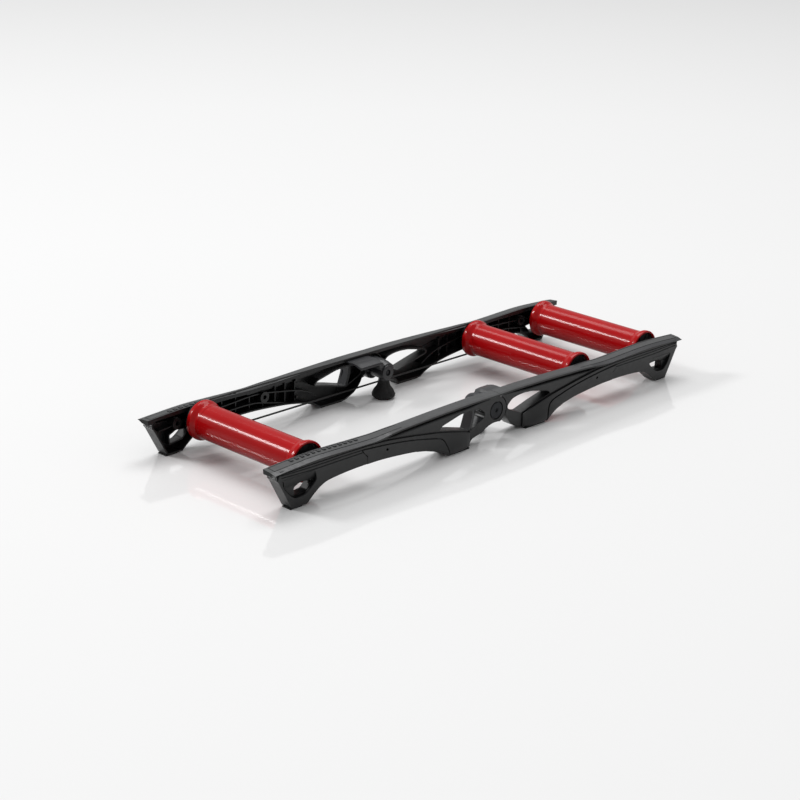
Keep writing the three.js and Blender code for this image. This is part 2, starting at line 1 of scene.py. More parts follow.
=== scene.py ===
# %% [markdown]
# # Folding bike rollers
# A cyclist rides in place on these: the rear wheel sits between two drums and the front wheel
# on a third one, which a belt keeps turning. The solid model of the rollers is loaded as a fixed
# frame, and every piece made here is laid over the part of it that it stands for.

# %% Load the frame
import json
import math

import bpy
from mathutils import Matrix, Vector


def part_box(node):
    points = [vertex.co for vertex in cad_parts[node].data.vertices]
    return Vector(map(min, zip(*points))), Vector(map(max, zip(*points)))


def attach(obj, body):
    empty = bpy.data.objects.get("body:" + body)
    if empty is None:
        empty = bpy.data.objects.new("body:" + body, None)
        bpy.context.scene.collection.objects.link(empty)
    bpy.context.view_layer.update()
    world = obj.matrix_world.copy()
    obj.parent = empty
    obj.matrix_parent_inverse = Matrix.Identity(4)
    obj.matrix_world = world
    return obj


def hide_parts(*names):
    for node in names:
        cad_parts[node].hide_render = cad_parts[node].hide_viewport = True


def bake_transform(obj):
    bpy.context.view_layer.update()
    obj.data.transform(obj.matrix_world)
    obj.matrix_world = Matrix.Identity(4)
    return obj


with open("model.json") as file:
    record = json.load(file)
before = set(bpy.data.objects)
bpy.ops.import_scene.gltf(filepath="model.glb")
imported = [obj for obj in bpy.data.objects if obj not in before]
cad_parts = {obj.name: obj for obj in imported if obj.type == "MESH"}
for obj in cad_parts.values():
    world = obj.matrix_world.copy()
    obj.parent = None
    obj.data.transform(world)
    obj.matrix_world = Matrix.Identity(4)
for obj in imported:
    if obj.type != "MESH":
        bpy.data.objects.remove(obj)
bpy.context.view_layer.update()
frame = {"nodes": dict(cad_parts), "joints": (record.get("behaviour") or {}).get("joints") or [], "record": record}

# %% [markdown]
# ## Units and small tools
# Blender works in metres here, but the sizes of moulded parts are easier to read in
# millimetres, so each size is written as a number times MM. Pieces are drawn as outlines in
# the side view (x along the rollers, z up) that are given a thickness across the track (y).

# %% Units and facets
MM = 0.001
fit_gap = 0.3 * MM  # between two pieces that touch
running_gap = 0.6 * MM  # between two pieces that turn past each other
overrun = 1 * MM  # how far a cutter reaches past what it cuts
curve_step = 5 * MM  # between two points of a smooth outline
fillet_steps = 3
round_facets = 96
small_facets = 40

# %% [markdown]
# A smooth moulding has few driving points. The curve below passes through all of them
# (a centripetal Catmull-Rom curve, which doesn't overshoot where points lie unevenly).

# %% Smooth curves through a few points
def vectors(points):
    return [Vector(p) for p in points]


def curve_through(points, closed=False, step=curve_step):
    given = vectors(points)
    count = len(given)
    made = []
    for i in range(count if closed else count - 1):
        b, c = given[i], given[(i + 1) % count]
        a = given[i - 1] if closed or i else 2 * b - c
        d = given[(i + 2) % count] if closed or i + 2 < count else 2 * c - b
        t1 = math.sqrt((b - a).length)
        t2 = t1 + math.sqrt((c - b).length)
        t3 = t2 + math.sqrt((d - c).length)
        pieces = max(1, round((c - b).length / step))
        for k in range(pieces):
            t = t1 + (t2 - t1) * k / pieces
            ab = a.lerp(b, t / t1)
            bc = b.lerp(c, (t - t1) / (t2 - t1))
            cd = c.lerp(d, (t - t2) / (t3 - t2))
            abc = ab.lerp(bc, t / t2)
            bcd = bc.lerp(cd, (t - t1) / (t3 - t1))
            made.append(abc.lerp(bcd, (t - t1) / (t2 - t1)))
    return made if closed else made + [given[-1]]


def area_of(ring):
    return sum(
        a.x * b.y - b.x * a.y for a, b in zip(ring, [*ring[1:], ring[0]])
    ) / 2


def grown(ring, distance):
    """A closed outline moved outwards by distance, or inwards where it is negative."""
    turn = math.copysign(1, area_of(ring))
    made = []
    for i, point in enumerate(ring):
        along = (point - ring[i - 1]).normalized()
        onward = (ring[(i + 1) % len(ring)] - point).normalized()
        normal = Vector((along.y + onward.y, -along.x - onward.x))
        made.append(point + normal * (2 * turn * distance / max(normal.length_squared, 1)))
    return made


def rounded(ring, radius, steps=4):
    """A closed outline whose corners become arcs of about that radius."""
    made = []
    for i, corner in enumerate(ring):
        back, onward = ring[i - 1] - corner, ring[(i + 1) % len(ring)] - corner
        reach = min(radius, back.length * 0.45, onward.length * 0.45)
        a, b = corner + back.normalized() * reach, corner + onward.normalized() * reach
        for k in range(steps + 1):
            t = k / steps
            made.append(a.lerp(corner, t).lerp(corner.lerp(b, t), t))
    return made


def clean(ring, closest=0.02 * MM):
    """Leaves out points that lie on the one before."""
    return [p for i, p in enumerate(ring) if (p - ring[i - 1]).length > closest]


square = vectors(((0, 0), (1, 0), (1, 1), (0, 1)))
print("a square with rounded corners has", len(rounded(square, 0.2)), "points")

# %% [markdown]
# Every solid is built from rings of points: a plate is its outline repeated at a few depths,
# drawn in a little near the faces, which gives it rounded edges. The same function makes
# turned pieces, the belt and the flared foot, so it only has to be right once. Where the
# rings run the wrong way round, the volume comes out negative and the faces are turned over.

# %% Solids from rings of points
def solid(name, rings, ends=True):
    count = len(rings[0])
    points = [p for ring in rings for p in ring]
    faces = []
    for i in range(len(rings) - (1 if ends else 0)):
        low, high = i * count, (i + 1) % len(rings) * count
        for j in range(count):
            k = (j + 1) % count
            faces.append((low + j, low + k, high + k, high + j))
    if ends:
        faces.append(tuple(range(count))[::-1])
        faces.append(tuple(range(len(points) - count, len(points))))
    mesh = bpy.data.meshes.new(name)
    mesh.from_pydata([tuple(p) for p in points], [], faces)
    made = bpy.data.objects.new(name, mesh)
    bpy.context.scene.collection.objects.link(made)
    if volume_of(mesh) < 0:
        mesh.flip_normals()
    return made


def volume_of(mesh):
    mesh.calc_loop_triangles()
    return sum(
        mesh.vertices[t.vertices[0]].co.dot(
            mesh.vertices[t.vertices[1]].co.cross(mesh.vertices[t.vertices[2]].co)
        )
        for t in mesh.loop_triangles
    ) / 6


# %% Plates, turned pieces and rods
def plate(ring, start, end, start_round=0.0, end_round=0.0, mouth=0.0):
    """An outline between two depths across the track. Its edges are rounded, or, for a
    cutter, opened into a mouth at the end."""
    ring = clean(ring)
    layers = []
    quarter = [k / fillet_steps * math.pi / 2 for k in range(fillet_steps + 1)]
    if start_round:
        layers += [(start + start_round * (1 - math.cos(angle)),
                    -start_round * (1 - math.sin(angle))) for angle in quarter[:-1]]
    layers.append((start + start_round, 0.0))
    if mouth:
        layers += [(end - overrun - mouth, 0.0), (end - overrun, mouth), (end, mouth)]
    else:
        layers.append((end - end_round, 0.0))
        if end_round:
            layers += [(end - end_round * (1 - math.sin(angle)),
                        -end_round * (1 - math.cos(angle))) for angle in quarter[1:]]
    rings = [
        [Vector((p.x, y, p.y)) for p in (grown(ring, by) if by else ring)]
        for y, by in layers
    ]
    return solid("plate", rings)


def lathe(profile, x, z, facets=round_facets):
    """A closed profile of (radius, y) points, turned round an axis across the track."""
    rings = []
    for i in range(facets):
        angle = 2 * math.pi * i / facets
        rings.append([
            Vector((x + r * math.cos(angle), y, z + r * math.sin(angle))) for r, y in profile
        ])
    made = solid("turned", rings, ends=False)
    weld(made)
    return made


def from_corner(x, y, *steps):
    """Points near a corner, each given in millimetres from it."""
    return [(x + across * MM, y + along * MM) for across, along in steps]


def circle(radius, x, z, facets):
    turns = [2 * math.pi * i / facets for i in range(facets)]
    return [Vector((x + radius * math.cos(a), z + radius * math.sin(a))) for a in turns]


def rod(radius, start, end, x, z, facets=small_facets, edge=0.0):
    return plate(circle(radius, x, z, facets), start, end, edge, edge)

# %% [markdown]
# Boolean modifiers join and cut the solids. Blender's Manifold solver is quick and exact as
# long as every piece is closed, which the ring function makes sure of.

# %% Joins and cuts
import bmesh


def weld(piece, distance=0.001 * MM):
    """Merges points on the turning axis, and drops faces that have no area."""
    work = bmesh.new()
    work.from_mesh(piece.data)
    bmesh.ops.remove_doubles(work, verts=work.verts, dist=distance)
    bmesh.ops.dissolve_degenerate(work, dist=distance, edges=work.edges)
    bmesh.ops.recalc_face_normals(work, faces=work.faces)
    work.to_mesh(piece.data)
    work.free()


def boolean(target, tools, operation):
    for tool in tools:
        step = target.modifiers.new("boolean", "BOOLEAN")
        step.operation = operation
        step.solver = "MANIFOLD"
        step.object = tool
    graph = bpy.context.evaluated_depsgraph_get()
    mesh = bpy.data.meshes.new_from_object(target.evaluated_get(graph))
    target.modifiers.clear()
    old, target.data = target.data, mesh
    bpy.data.meshes.remove(old)
    for tool in tools:
        bpy.data.meshes.remove(tool.data)
    return target


def join(first, *others):
    return boolean(first, others, "UNION")


def cut(target, *tools):
    return boolean(target, tools, "DIFFERENCE")


def overlap(target, *others):
    return boolean(target, others, "INTERSECT")

# %% [markdown]
# Each finished piece is mirrored to its own corner, shaded smooth with sharp creases kept,
# given its material, and tied to the moving body of the solid that it stands for.

# %% Finishing a piece
body_of = {
    node: body
    for body, nodes in frame["record"]["behaviour"]["bodies"].items() for node in nodes
}
crease = math.radians(32)
made_pieces = []
print(len(body_of), "solids on", len(set(body_of.values())), "moving bodies")


def finish_piece(piece, name, node, material, end=1, side=1):
    mesh = piece.data
    if (end, side) != (1, 1):
        mesh.transform(Matrix.Diagonal((end, side, 1, 1)))
        if end * side < 0:
            mesh.flip_normals()
    piece.name = mesh.name = name
    mesh.materials.clear()
    for each in material if isinstance(material, (list, tuple)) else [material]:
        mesh.materials.append(each)
    mesh.shade_smooth()
    mesh.set_sharp_from_angle(angle=crease)
    weights = piece.modifiers.new("weighted_normals", "WEIGHTED_NORMAL")
    weights.keep_sharp = True
    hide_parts(node)
    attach(piece, body_of[node])
    made_pieces.append(piece)
    return piece

# %% [markdown]
# ## Materials
# Colours are written as sRGB hex values, as a colour picker gives them, and turned to the
# linear values that Blender's shaders expect.

# %% Colour and node tools
def linear(hex_colour):
    parts = [int(hex_colour[i:i + 2], 16) / 255 for i in (1, 3, 5)]
    return [*(c / 12.92 if c <= 0.04045 else ((c + 0.055) / 1.055) ** 2.4 for c in parts), 1]


def add(tree, kind, values=None, links=None, **settings):
    """Adds a node, with its settings, the values of its sockets and what is linked to them."""
    made = tree.nodes.new(kind)
    for name, value in settings.items():
        setattr(made, name, value)
    for socket, value in (values or {}).items():
        made.inputs[socket].default_value = value
    for socket, source in (links or {}).items():
        tree.links.new(source, made.inputs[socket])
    return made


def new_material(name):
    made = bpy.data.materials.new(name)
    made.use_nodes = True
    made.node_tree.nodes.clear()
    return made, made.node_tree


def close_material(tree, shader):
    add(tree, "ShaderNodeOutputMaterial", links={"Surface": shader.outputs[0]})


def per_metre(size):
    """A noise scale that gives features of about that size."""
    return 1 / size


def speckle(tree, place, size, detail):
    return add(tree, "ShaderNodeTexNoise", {"Scale": per_metre(size), "Detail": detail},
               {"Vector": place.outputs["Object"]}).outputs["Fac"]


def spread(tree, source, low, high):
    """Turns a noise around 0.5 into a value between low and high."""
    return add(tree, "ShaderNodeMapRange",
               {"From Min": 0.3, "From Max": 0.7, "To Min": low, "To Max": high},
               {"Value": source}).outputs["Result"]


def two_tone(tree, source, first, second):
    made = add(tree, "ShaderNodeMix", data_type="RGBA")
    made.inputs["A"].default_value = linear(first)
    made.inputs["B"].default_value = linear(second)
    tree.links.new(source, made.inputs["Factor"])
    return made.outputs["Result"]

# %% [markdown]
# ### One recipe for all finishes
# Every finish here is built the same way: the colour drifts between two tones over a cloud,
# the roughness between two values over smaller patches, and a fine grain is drawn as a bump.
# What sets them apart is the size and the strength of these patterns, and how they shine.

# %% The recipe
grain_height = 0.1 * MM


def finish_of(name, tones, cloud, rough, patch, grain, bump, shine):
    """Cloud, patch and grain are each a size and a detail of a noise."""
    made, tree = new_material(name)
    place = add(tree, "ShaderNodeTexCoord")
    colour = two_tone(tree, spread(tree, speckle(tree, place, *cloud), 0, 1), *tones)
    roughness = spread(tree, speckle(tree, place, *patch), *rough)
    height = add(tree, "ShaderNodeBump", {"Strength": bump, "Distance": grain_height},
                 {"Height": speckle(tree, place, *grain)}).outputs["Normal"]
    shader = add(tree, "ShaderNodeBsdfPrincipled", shine,
                 {"Base Color": colour, "Roughness": roughness, "Normal": height})
    close_material(tree, shader)
    return made

# %% [markdown]
# ### Glass-filled nylon
# The rails and brackets are injection moulded from black nylon with glass fibre. The tool is
# spark eroded, so the skin has a fine grain that breaks up reflections into a soft grey sheen.
# The real grain is about 0.3 mm wide; it is drawn at 0.8 mm, or it would vanish in the render.
# A mould has more than one grain: the side faces are even and near black, and the tread on top of
# the flanges is rougher. Its upward faces are also given a lighter grey as painted light, and the
# sloping bands, the pads and the strut get a lighter smooth nylon as painted light; that smooth
# nylon is also the brackets' own finish.

# %% Nylon in three grains, two of them lighter as painted light
def moulded_nylon(name, dark, light, rough, grain, bump):
    return finish_of(name, (dark, light), (60 * MM, 3.0), (rough - 0.05, rough + 0.06),
                     (12 * MM, 2.0), (grain, 3.0), bump,
                     {"IOR": 1.53, "Specular IOR Level": 0.4})


nylon = moulded_nylon("glass_filled_nylon", "#0c0d0e", "#121314", 0.38, 0.8 * MM, 0.35)
# painted light: the upward faces of the flange's strip get this lighter grey, on top of its rougher grain
tread_nylon_painted_lit = moulded_nylon("coarse_grained_nylon_painted_lit", "#3a3b3c", "#464748", 0.5, 1.6 * MM, 0.5)
# painted light: this lighter nylon goes on the sloping band, the pads and the strut in the window to make them
# look lit; on the brackets it is their own finish
fine_nylon_and_painted_light = moulded_nylon("fine_grained_nylon_and_painted_light", "#26272a", "#2d2e31", 0.34, 0.8 * MM, 0.2)

# %% [markdown]
# ### Red drums
# The drums are turned from impact-resistant ABS and lacquered: a saturated red under a thin,
# very smooth clear coat. The coat mirrors the lamps as a narrow bright line along the drum, and
# the slight waviness of a sprayed coat (orange peel, some 2.5 mm wide) keeps that line alive.

# %% Lacquered red
red = finish_of("lacquered_red_abs", ("#ab0a0e", "#b40d12"), (90 * MM, 2.0), (0.2, 0.27),
                (15 * MM, 4.0), (2.5 * MM, 2.0), 0.012,
                {"IOR": 1.5, "Specular IOR Level": 0.1, "Coat Weight": 0.2,
                 "Coat Roughness": 0.04, "Coat IOR": 1.5})
print("drum material:", red.name)

# %% [markdown]
# ### Caps, rubber and metals
# The end caps are plain black ABS. Pads and belt are rubber and polyurethane: dark, with a
# broad dull highlight. The hardware is zinc plated, blackened or sintered, and each of these
# shows a different fine pattern: brushed cloud, oily patches, open pores.

# %% Plain finishes
def plain_finish(name, dark, light, rough, metal, patch, grain, bump):
    return finish_of(name, (dark, light), (patch, 4.0), (rough - 0.06, rough + 0.08),
                     (patch / 2, 2.0), (grain, 3.0), bump, {"Metallic": metal})


cap_abs = plain_finish("black_abs", "#101011", "#151517", 0.42, 0.0, 20 * MM, 0.7 * MM, 0.2)
rubber = plain_finish("epdm_rubber", "#080808", "#0e0e0e", 0.75, 0.0, 10 * MM, 0.6 * MM, 0.5)
belt_rubber = plain_finish("polyurethane_belt", "#0d0d0e", "#121213", 0.5, 0.0, 15 * MM,
                           0.8 * MM, 0.3)
zinc = plain_finish("zinc_plated_steel", "#8f9296", "#a9acb0", 0.34, 1.0, 6 * MM, 0.5 * MM, 0.15)
black_oxide = plain_finish("black_oxide_steel", "#2a2b2d", "#353638", 0.42, 1.0, 8 * MM,
                           0.5 * MM, 0.2)
bronze = plain_finish("sintered_bronze", "#8a6b3e", "#a07f4e", 0.5, 1.0, 2 * MM, 0.4 * MM, 0.6)
print("materials:", [m.name for m in bpy.data.materials])

# %% [markdown]
# ## Side rails
# Each side rail is two half mouldings that meet at the hinge. A half rail is a channel, open
# towards the drums: a web with an upper arm and a lower arm, a wide flange on top, an end foot,
# and a middle foot that bulges out. Its side view is written as shares of its length and
# height, so it follows the frame.

# %% Sizes of a half rail
low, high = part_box("rail_front_left")
rail_half, floor_gap = -low.x, low.z
hinge_height = frame["joints"][0]["pos_m"][2]
rail_top = hinge_height + 38 * MM
inner = -high.y
arm = inner + 29 * MM  # face of the upper arm
face = arm + 3.5 * MM  # face of the lower arm
flange_edge = arm + 7.7 * MM
foot_flare = -low.y - face
wall = 3.5 * MM
flange_start = 8 * MM
rib = 2.5 * MM
rib_setback = 5 * MM
panel_rise = 1.2 * MM
arm_round = 1.8 * MM
line_width, line_depth = 2.2 * MM, 1.8 * MM  # engraved lines
panel_line_width, panel_line_depth = 2.8 * MM, 2.2 * MM
hinge_outer, hinge_inner, hinge_split = 33 * MM, 27 * MM, inner + 19 * MM
hub_margin = 9 * MM
pin_radius = 5 * MM
axle_height = next(j for j in frame["joints"] if j["name"] == "front_drum_spin")["pos_m"][2]
drum_x = {
    name: next(j for j in frame["joints"] if j["name"] == f"{name}_drum_spin")["pos_m"][0]
    for name in ("front", "middle", "rear")
}
axle_radius = 5 * MM
print("half rail", round(rail_half / MM), "mm long,", round(rail_top / MM), "mm high")

# %% [markdown]
# The outlines. A run of points becomes one smooth curve, and a corner is where two runs meet.
# The first number of a pair is the distance from the hinge, the second the height.

# %% Outlines of a half rail
foot_share = 0.0288
flange_shares = [
    (0.1, 1.005), (0.24, 0.99), (0.38, 0.962), (0.49, 0.935), (0.56, 0.905),
    (0.64, 0.913), (0.73, 0.932), (0.815, 0.942), (0.9, 0.923), (1, 0.885),
]
leg_shares = [(0.976, 0.665), (0.967, 0.56), (0.945, 0.3), (0.922, foot_share)]
leg_block_shares = [(0.986, 0.86), (0.983, 0.72)]
underside_shares = [
    (0.86, foot_share), (0.833, 0.175), (0.809, 0.285), (0.781, 0.365), (0.742, 0.4),
    (0.68, 0.426), (0.615, 0.434), (0.55, 0.428), (0.46, 0.385), (0.382, 0.325),
    (0.321, 0.24), (0.274, 0.13), (0.248, foot_share),
]
middle_foot_share = (0.131, foot_share)
outer_arch_shares = [(0.118, 0.15), (0.0975, 0.19), (0.07, 0.23), (0.0515, 0.293), (0.03, 0.345),
                     (0.012, 0.365)]
inner_arch_shares = [  # steeper, so that the two halves have room between them when folded
    (0.108, 0.09), (0.088, 0.15), (0.068, 0.262), (0.0575, 0.345), (0.0515, 0.415),
    (0.0475, 0.475),
]
belly_shares = [(-0.035, 0.31), (-0.018, 0.352), (0, 0.366), (0.012, 0.365), (0.03, 0.345)]
shadow_shares = [  # the dark groove under the flange and along the top of the lower arm
    (0.985, 0.85), (0.9, 0.857), (0.75, 0.861), (0.66, 0.858), (0.6, 0.85), (0.54, 0.83),
    (0.49, 0.8), (0.446, 0.762), (0.39, 0.712), (0.344, 0.664), (0.29, 0.608), (0.25, 0.555),
    (0.2, 0.483), (0.152, 0.405), (0.131, 0.362),
]
panel_line_shares = [
    (0.622, 0.787), (0.532, 0.737), (0.45, 0.674), (0.385, 0.606), (0.328, 0.53),
    (0.278, 0.452), (0.262, 0.38), (0.253, 0.27), (0.246, 0.146), (0.24, -0.03),
]
panel_back_shares = [(0.605, -0.05), (0.606, 0.61)]  # its far side, inside the arm's outline
upper_line_shares = [(0.972, 0.82), (0.84, 0.797), (0.7, 0.795), (0.622, 0.787)]
lower_line_shares = [(0.968, 0.768), (0.84, 0.731), (0.74, 0.73), (0.628, 0.728)]
short_line_shares = [(0.63, 0.79), (0.626, 0.73), (0.618, 0.67), (0.606, 0.61)]
window_shares = [
    (0.262, 0.69), (0.177, 0.815), (0.14, 0.833), (0.108, 0.824), (0.078, 0.785),
    (0.055, 0.66), (0.06, 0.56), (0.128, 0.372), (0.2, 0.5), (0.276, 0.612),
]
strut_shares = [(0.107, 0.88), (0.117, 0.88), (0.117, 0.652), (0.133, 0.34), (0.121, 0.34),
                (0.106, 0.652)]
foot_recess_shares = [
    (0.967, 0.7), (0.954, 0.49), (0.936, 0.36), (0.912, 0.235), (0.894, 0.23), (0.868, 0.25),
    (0.855, 0.3), (0.838, 0.39), (0.82, 0.5), (0.83, 0.7),
]
rear_recess_shares = [
    (0.944, 0.62), (0.937, 0.49), (0.926, 0.36), (0.906, 0.245), (0.89, 0.235), (0.868, 0.25),
    (0.855, 0.3), (0.838, 0.39), (0.82, 0.5), (0.83, 0.62),
]
leg_line_shares = [(0.959, 0.67), (0.948, 0.5), (0.932, 0.37), (0.912, 0.265), (0.89, 0.252)]
foot_hole_shares = [(0.905, 0.262), (0.907, 0.44), (0.88, 0.522), (0.827, 0.485), (0.857, 0.3)]
upper_rib_shares = [
    (0.95, 0.6), (0.8, 0.69), (0.66, 0.74), (0.547, 0.779), (0.504, 0.76), (0.435, 0.692),
    (0.344, 0.577), (0.297, 0.471), (0.26, 0.33),
]
lower_rib_shares = [(0.84, 0.44), (0.7, 0.57), (0.547, 0.587), (0.48, 0.5), (0.39, 0.36)]
cross_rib_shares = [0.355, 0.4, 0.445, 0.5, 0.56, 0.62, 0.68, 0.74, 0.81]
dimple_shares = [(0.5235, 0.65), (0.525, 0.61), (0.519, 0.585), (0.5135, 0.6), (0.516, 0.64)]
closed_shares = [(0.03, 0.9), (0.112, 0.9), (0.132, 0.3), (0.03, 0.3)]
nub_shares = [(0.3555, 0.84), (0.3555, 0.577), (0.35, 0.43)]
flare_shares = [  # top and bottom of a station across the arm, and its share of the flare
    (0.395, 0.716, 0.382, 0.32, 0), (0.357, 0.677, 0.345, 0.277, 0.08),
    (0.325, 0.643, 0.308, 0.208, 0.25), (0.29, 0.602, 0.276, 0.127, 0.55),
    (0.258, 0.56, 0.247, 0.03, 0.85), (0.218, 0.505, 0.218, 0.03, 1),
    (0.181, 0.448, 0.184, 0.03, 0.92), (0.152, 0.4, 0.156, 0.03, 0.66),
    (0.139, 0.378, 0.14, 0.03, 0.35), (0.132, 0.36, 0.132, 0.03, 0),
]
section_shares = [  # down the station, out over the step, out over the flare
    (0, 0, 0), (0.05, 1, 0.03), (0.45, 1, 0.48), (0.85, 1, 1), (1, 0.5, 0.8),
]


def place(shares):
    rise = (rail_top - floor_gap) / (1 - foot_share)
    return [
        Vector((along * rail_half, floor_gap + (up - foot_share) * rise)) for along, up in shares
    ]


def smooth(shares, closed=False):
    return curve_through(place(shares), closed)


def ribbon(path, width):
    """The outline of a line of that width."""
    sides = ([], [])
    for i, point in enumerate(path):
        along = path[min(i + 1, len(path) - 1)] - path[max(i - 1, 0)]
        normal = Vector((-along.y, along.x)).normalized() * width / 2
        sides[0].append(point + normal)
        sides[1].append(point - normal)
    return sides[0] + sides[1][::-1]


def box_ring(x0, x1, z0, z1):
    return vectors(((x0, z0), (x1, z0), (x1, z1), (x0, z1)))


def height_at(path, x):
    for a, b in zip(path, path[1:]):
        if min(a.x, b.x) <= x <= max(a.x, b.x):
            return a.lerp(b, (x - a.x) / (b.x - a.x)).y
    return min(path, key=lambda p: abs(p.x - x)).y


def ease(value, low, high):
    """0 below low, 1 above high and a soft slope between them."""
    t = min(1, max(0, (value - low) / (high - low)))
    return t * t * (3 - 2 * t)


def sweep(path, section):
    """Carries a section of (y, rise) points along a path in the side view. The section may
    change with its place along the path."""
    return solid("sweep", [
        [Vector((p.x, across, p.y + rise)) for across, rise in section(p.x)] for p in path
    ])

# %% [markdown]
# The flange on top changes its section on the way: near the hinge it is a flat bar with a
# narrow chamfer, and towards the end it becomes a tilted strip to stand on and a wide band that
# slopes down to the edge. So it is swept along its curve, not extruded. Each size that changes
# has a value for the bar and one for the tail, with a soft passage between two shares of the
# length.

# %% The flange
flange_top = curve_through([Vector((-2 * flange_start, rail_top)), *place(flange_shares)])
shadow_line = smooth(shadow_shares)
shadow_width = 4.2 * MM
tread_edge = inner + 23.5 * MM  # where the strip ends and the sloping band starts
bar_section = (arm - 4 * MM, arm + 1.5 * MM, 1 * MM)  # end of the strip, edge, fall to the edge
tail_section = (tread_edge, flange_edge, 1.5 * MM)
bar_thick, tail_thick = 4.5 * MM, 9 * MM
bar_proud, tail_proud, tail_tilt = 1.5 * MM, 5 * MM, 2.2 * MM
keel_depth = 5 * MM  # the inner part of the flange is deeper at its end


def passage(x, start, end, before, after):
    """A value that goes softly from before to after, between two shares of the length."""
    return before + (after - before) * ease(x / rail_half, start, end)


def strip_rise(x, y):
    """How far the strip stands above the flange line. Towards the end it tilts outwards."""
    tilt = tail_tilt * (y - inner) / (tread_edge - inner)
    return passage(x, 0.43, 0.6, bar_proud, tail_proud - tilt)


def flange_sizes(x):
    """Where the strip ends, the edge, the fall to the edge, and the underside."""
    gap = height_at(flange_top, x) - height_at(shadow_line, x) - shadow_width / 2
    under = passage(x, 0.5, 0.6, bar_thick, min(gap, tail_thick))
    return (*(passage(x, 0.43, 0.6, a, b) for a, b in zip(bar_section, tail_section)), under)


def flange_section(x):
    strip, edge, fall, under = flange_sizes(x)
    keel = under + passage(x, 0.7, 0.9, 0, keel_depth)
    ring = [(inner, -keel), (strip - 2 * MM, -keel), (edge - 4 * MM, -under),
            (edge, -under), (edge, -fall), (strip, strip_rise(x, strip)),
            (inner, strip_rise(x, inner))]
    return rounded(vectors(ring), 1 * MM, 3)


print("flange", round(flange_sizes(0)[3] / MM, 1), "mm thick at the hinge and",
      round(flange_sizes(0.9 * rail_half)[3] / MM, 1), "mm near the end")

# %% [markdown]
# Below the bar runs a deep slot that makes the dark line in the side view. The wall under it
# has a round crest and falls away behind, so that the slot stays dark from any side. The same
# section, grown by the wall thickness, keeps the inside of the channel closed behind the slot.

# %% The slot below the bar
slot_from, slot_to = 0.03, 0.59
slot_crest = 3.2 * MM


def slot_section(extra):
    def section(x):
        depth = passage(x, 0.03, 0.2, 1.5 * MM, 11 * MM) * passage(x, 0.48, 0.58, 1, 0.4)
        room = height_at(flange_top, x) - height_at(shadow_line, max(x, 0.14 * rail_half))
        tall = min(passage(x, 0.04, 0.16, 2 * MM, 6.5 * MM), max(room - 8 * MM, 1 * MM))
        crest = min(slot_crest, tall)
        under = flange_sizes(x)[3]
        low, outside = -under - tall, arm + overrun + 4 * MM
        ring = [(outside, -under), (arm - depth, -under), (arm - depth, low - crest * 0.5),
                (arm - depth * 0.35, low), (arm - depth * 0.12, low - crest * 0.2),
                (arm + 0.02 * MM, low - crest), (outside, low - crest)]
        return grown(vectors(ring), extra)
    return section


def between(path, low, high):
    return [p for p in path if low * rail_half <= p.x <= high * rail_half]


print("slot of", len(between(flange_top, slot_from, slot_to)), "sections")

# %% [markdown]
# The flare of the middle foot is a skin over stations across the lower arm: each has the same
# bowed section, pushed out by its own share.

# %% The flared foot
rows_per_station = 5
print("flare over", len(flare_shares), "stations, out by", round(foot_flare / MM, 1), "mm")


def flare(offset):
    stations = [Vector(s[:4]) for s in flare_shares]
    depths = [s[4] for s in flare_shares]
    section = curve_through([Vector(s) for s in section_shares], step=0.12)
    rings = []
    for i in range(len(stations) - 1):
        last = i == len(stations) - 2
        before, after = depths[max(i - 1, 0)], depths[min(i + 2, len(depths) - 1)]
        for k in range(rows_per_station + (1 if last else 0)):
            t = k / rows_per_station
            station = stations[i].lerp(stations[i + 1], t)
            share = hermite(before, depths[i], depths[i + 1], after, t)
            (x0, z0), (x1, z1) = place([station[:2], station[2:]])
            front = [
                Vector((x0 + (x1 - x0) * down,
                        arm + (face - arm) * min(step, 1) + foot_flare * out * share + offset,
                        z0 + (z1 - z0) * down))
                for down, step, out in section
            ]
            back = arm - wall
            rings.append([*front, Vector((x1, back, z1)), Vector((x0, back, z0))])
    made = solid("flare", rings)
    weld(made)
    return made


def hermite(before, a, b, after, t):
    """A smooth value between a and b that never overshoots them."""
    slope_a, slope_b = (b - before) / 2, (after - a) / 2
    value = (
        (2 * t ** 3 - 3 * t ** 2 + 1) * a + (t ** 3 - 2 * t ** 2 + t) * slope_a
        + (-2 * t ** 3 + 3 * t ** 2) * b + (t ** 3 - t ** 2) * slope_b
    )
    return min(max(value, min(a, b)), max(a, b))

# %% [markdown]
# Two cutters have a sloping face. The recess of the end foot is deep at its lower end and runs
# out to nothing at the top, and the raised panel fades into the arm around it.

# %% Sloping cutters
full_depth_share = 0.55  # of the height of the recess
fade_sunk = -0.05 * MM
fade_steps = [
    (0.4, panel_rise), (0.44, panel_rise), (0.5, 0.5 * panel_rise), (0.56, 0.1 * panel_rise),
    (0.58, fade_sunk), (0.66, fade_sunk),
]


def sloping_recess(ring, depth):
    bottom, top = min(p.y for p in ring), max(p.y for p in ring)
    x0, x1 = min(p.x for p in ring) - overrun, max(p.x for p in ring) + overrun
    behind = face - depth - 2 * overrun
    floor_line = [(behind, bottom - overrun), (face - depth, bottom - overrun),
                  (face - depth, bottom + full_depth_share * (top - bottom)), (face, top),
                  (behind, top)]
    ramp = solid("ramp", [[Vector((x, y, z)) for y, z in floor_line] for x in (x0, x1)])
    return cut(plate(ring, face - depth, face + overrun, mouth=0.8 * MM), ramp)


def panel_fade():
    """What is taken off the panel, so that it stands proud above and ends flush below."""
    far = face + 2 * foot_flare
    rings = []
    for share, rise in fade_steps:
        (x, low_z), (x, high_z) = place([(share, 0.3), (share, 0.74)])
        rings.append([Vector((x, y, z)) for y, z in (
            (face + rise, 0), (face + rise, low_z), (face + panel_rise, high_z),
            (face + panel_rise, rail_top), (far, rail_top), (far, 0))])
    return solid("fade", rings)

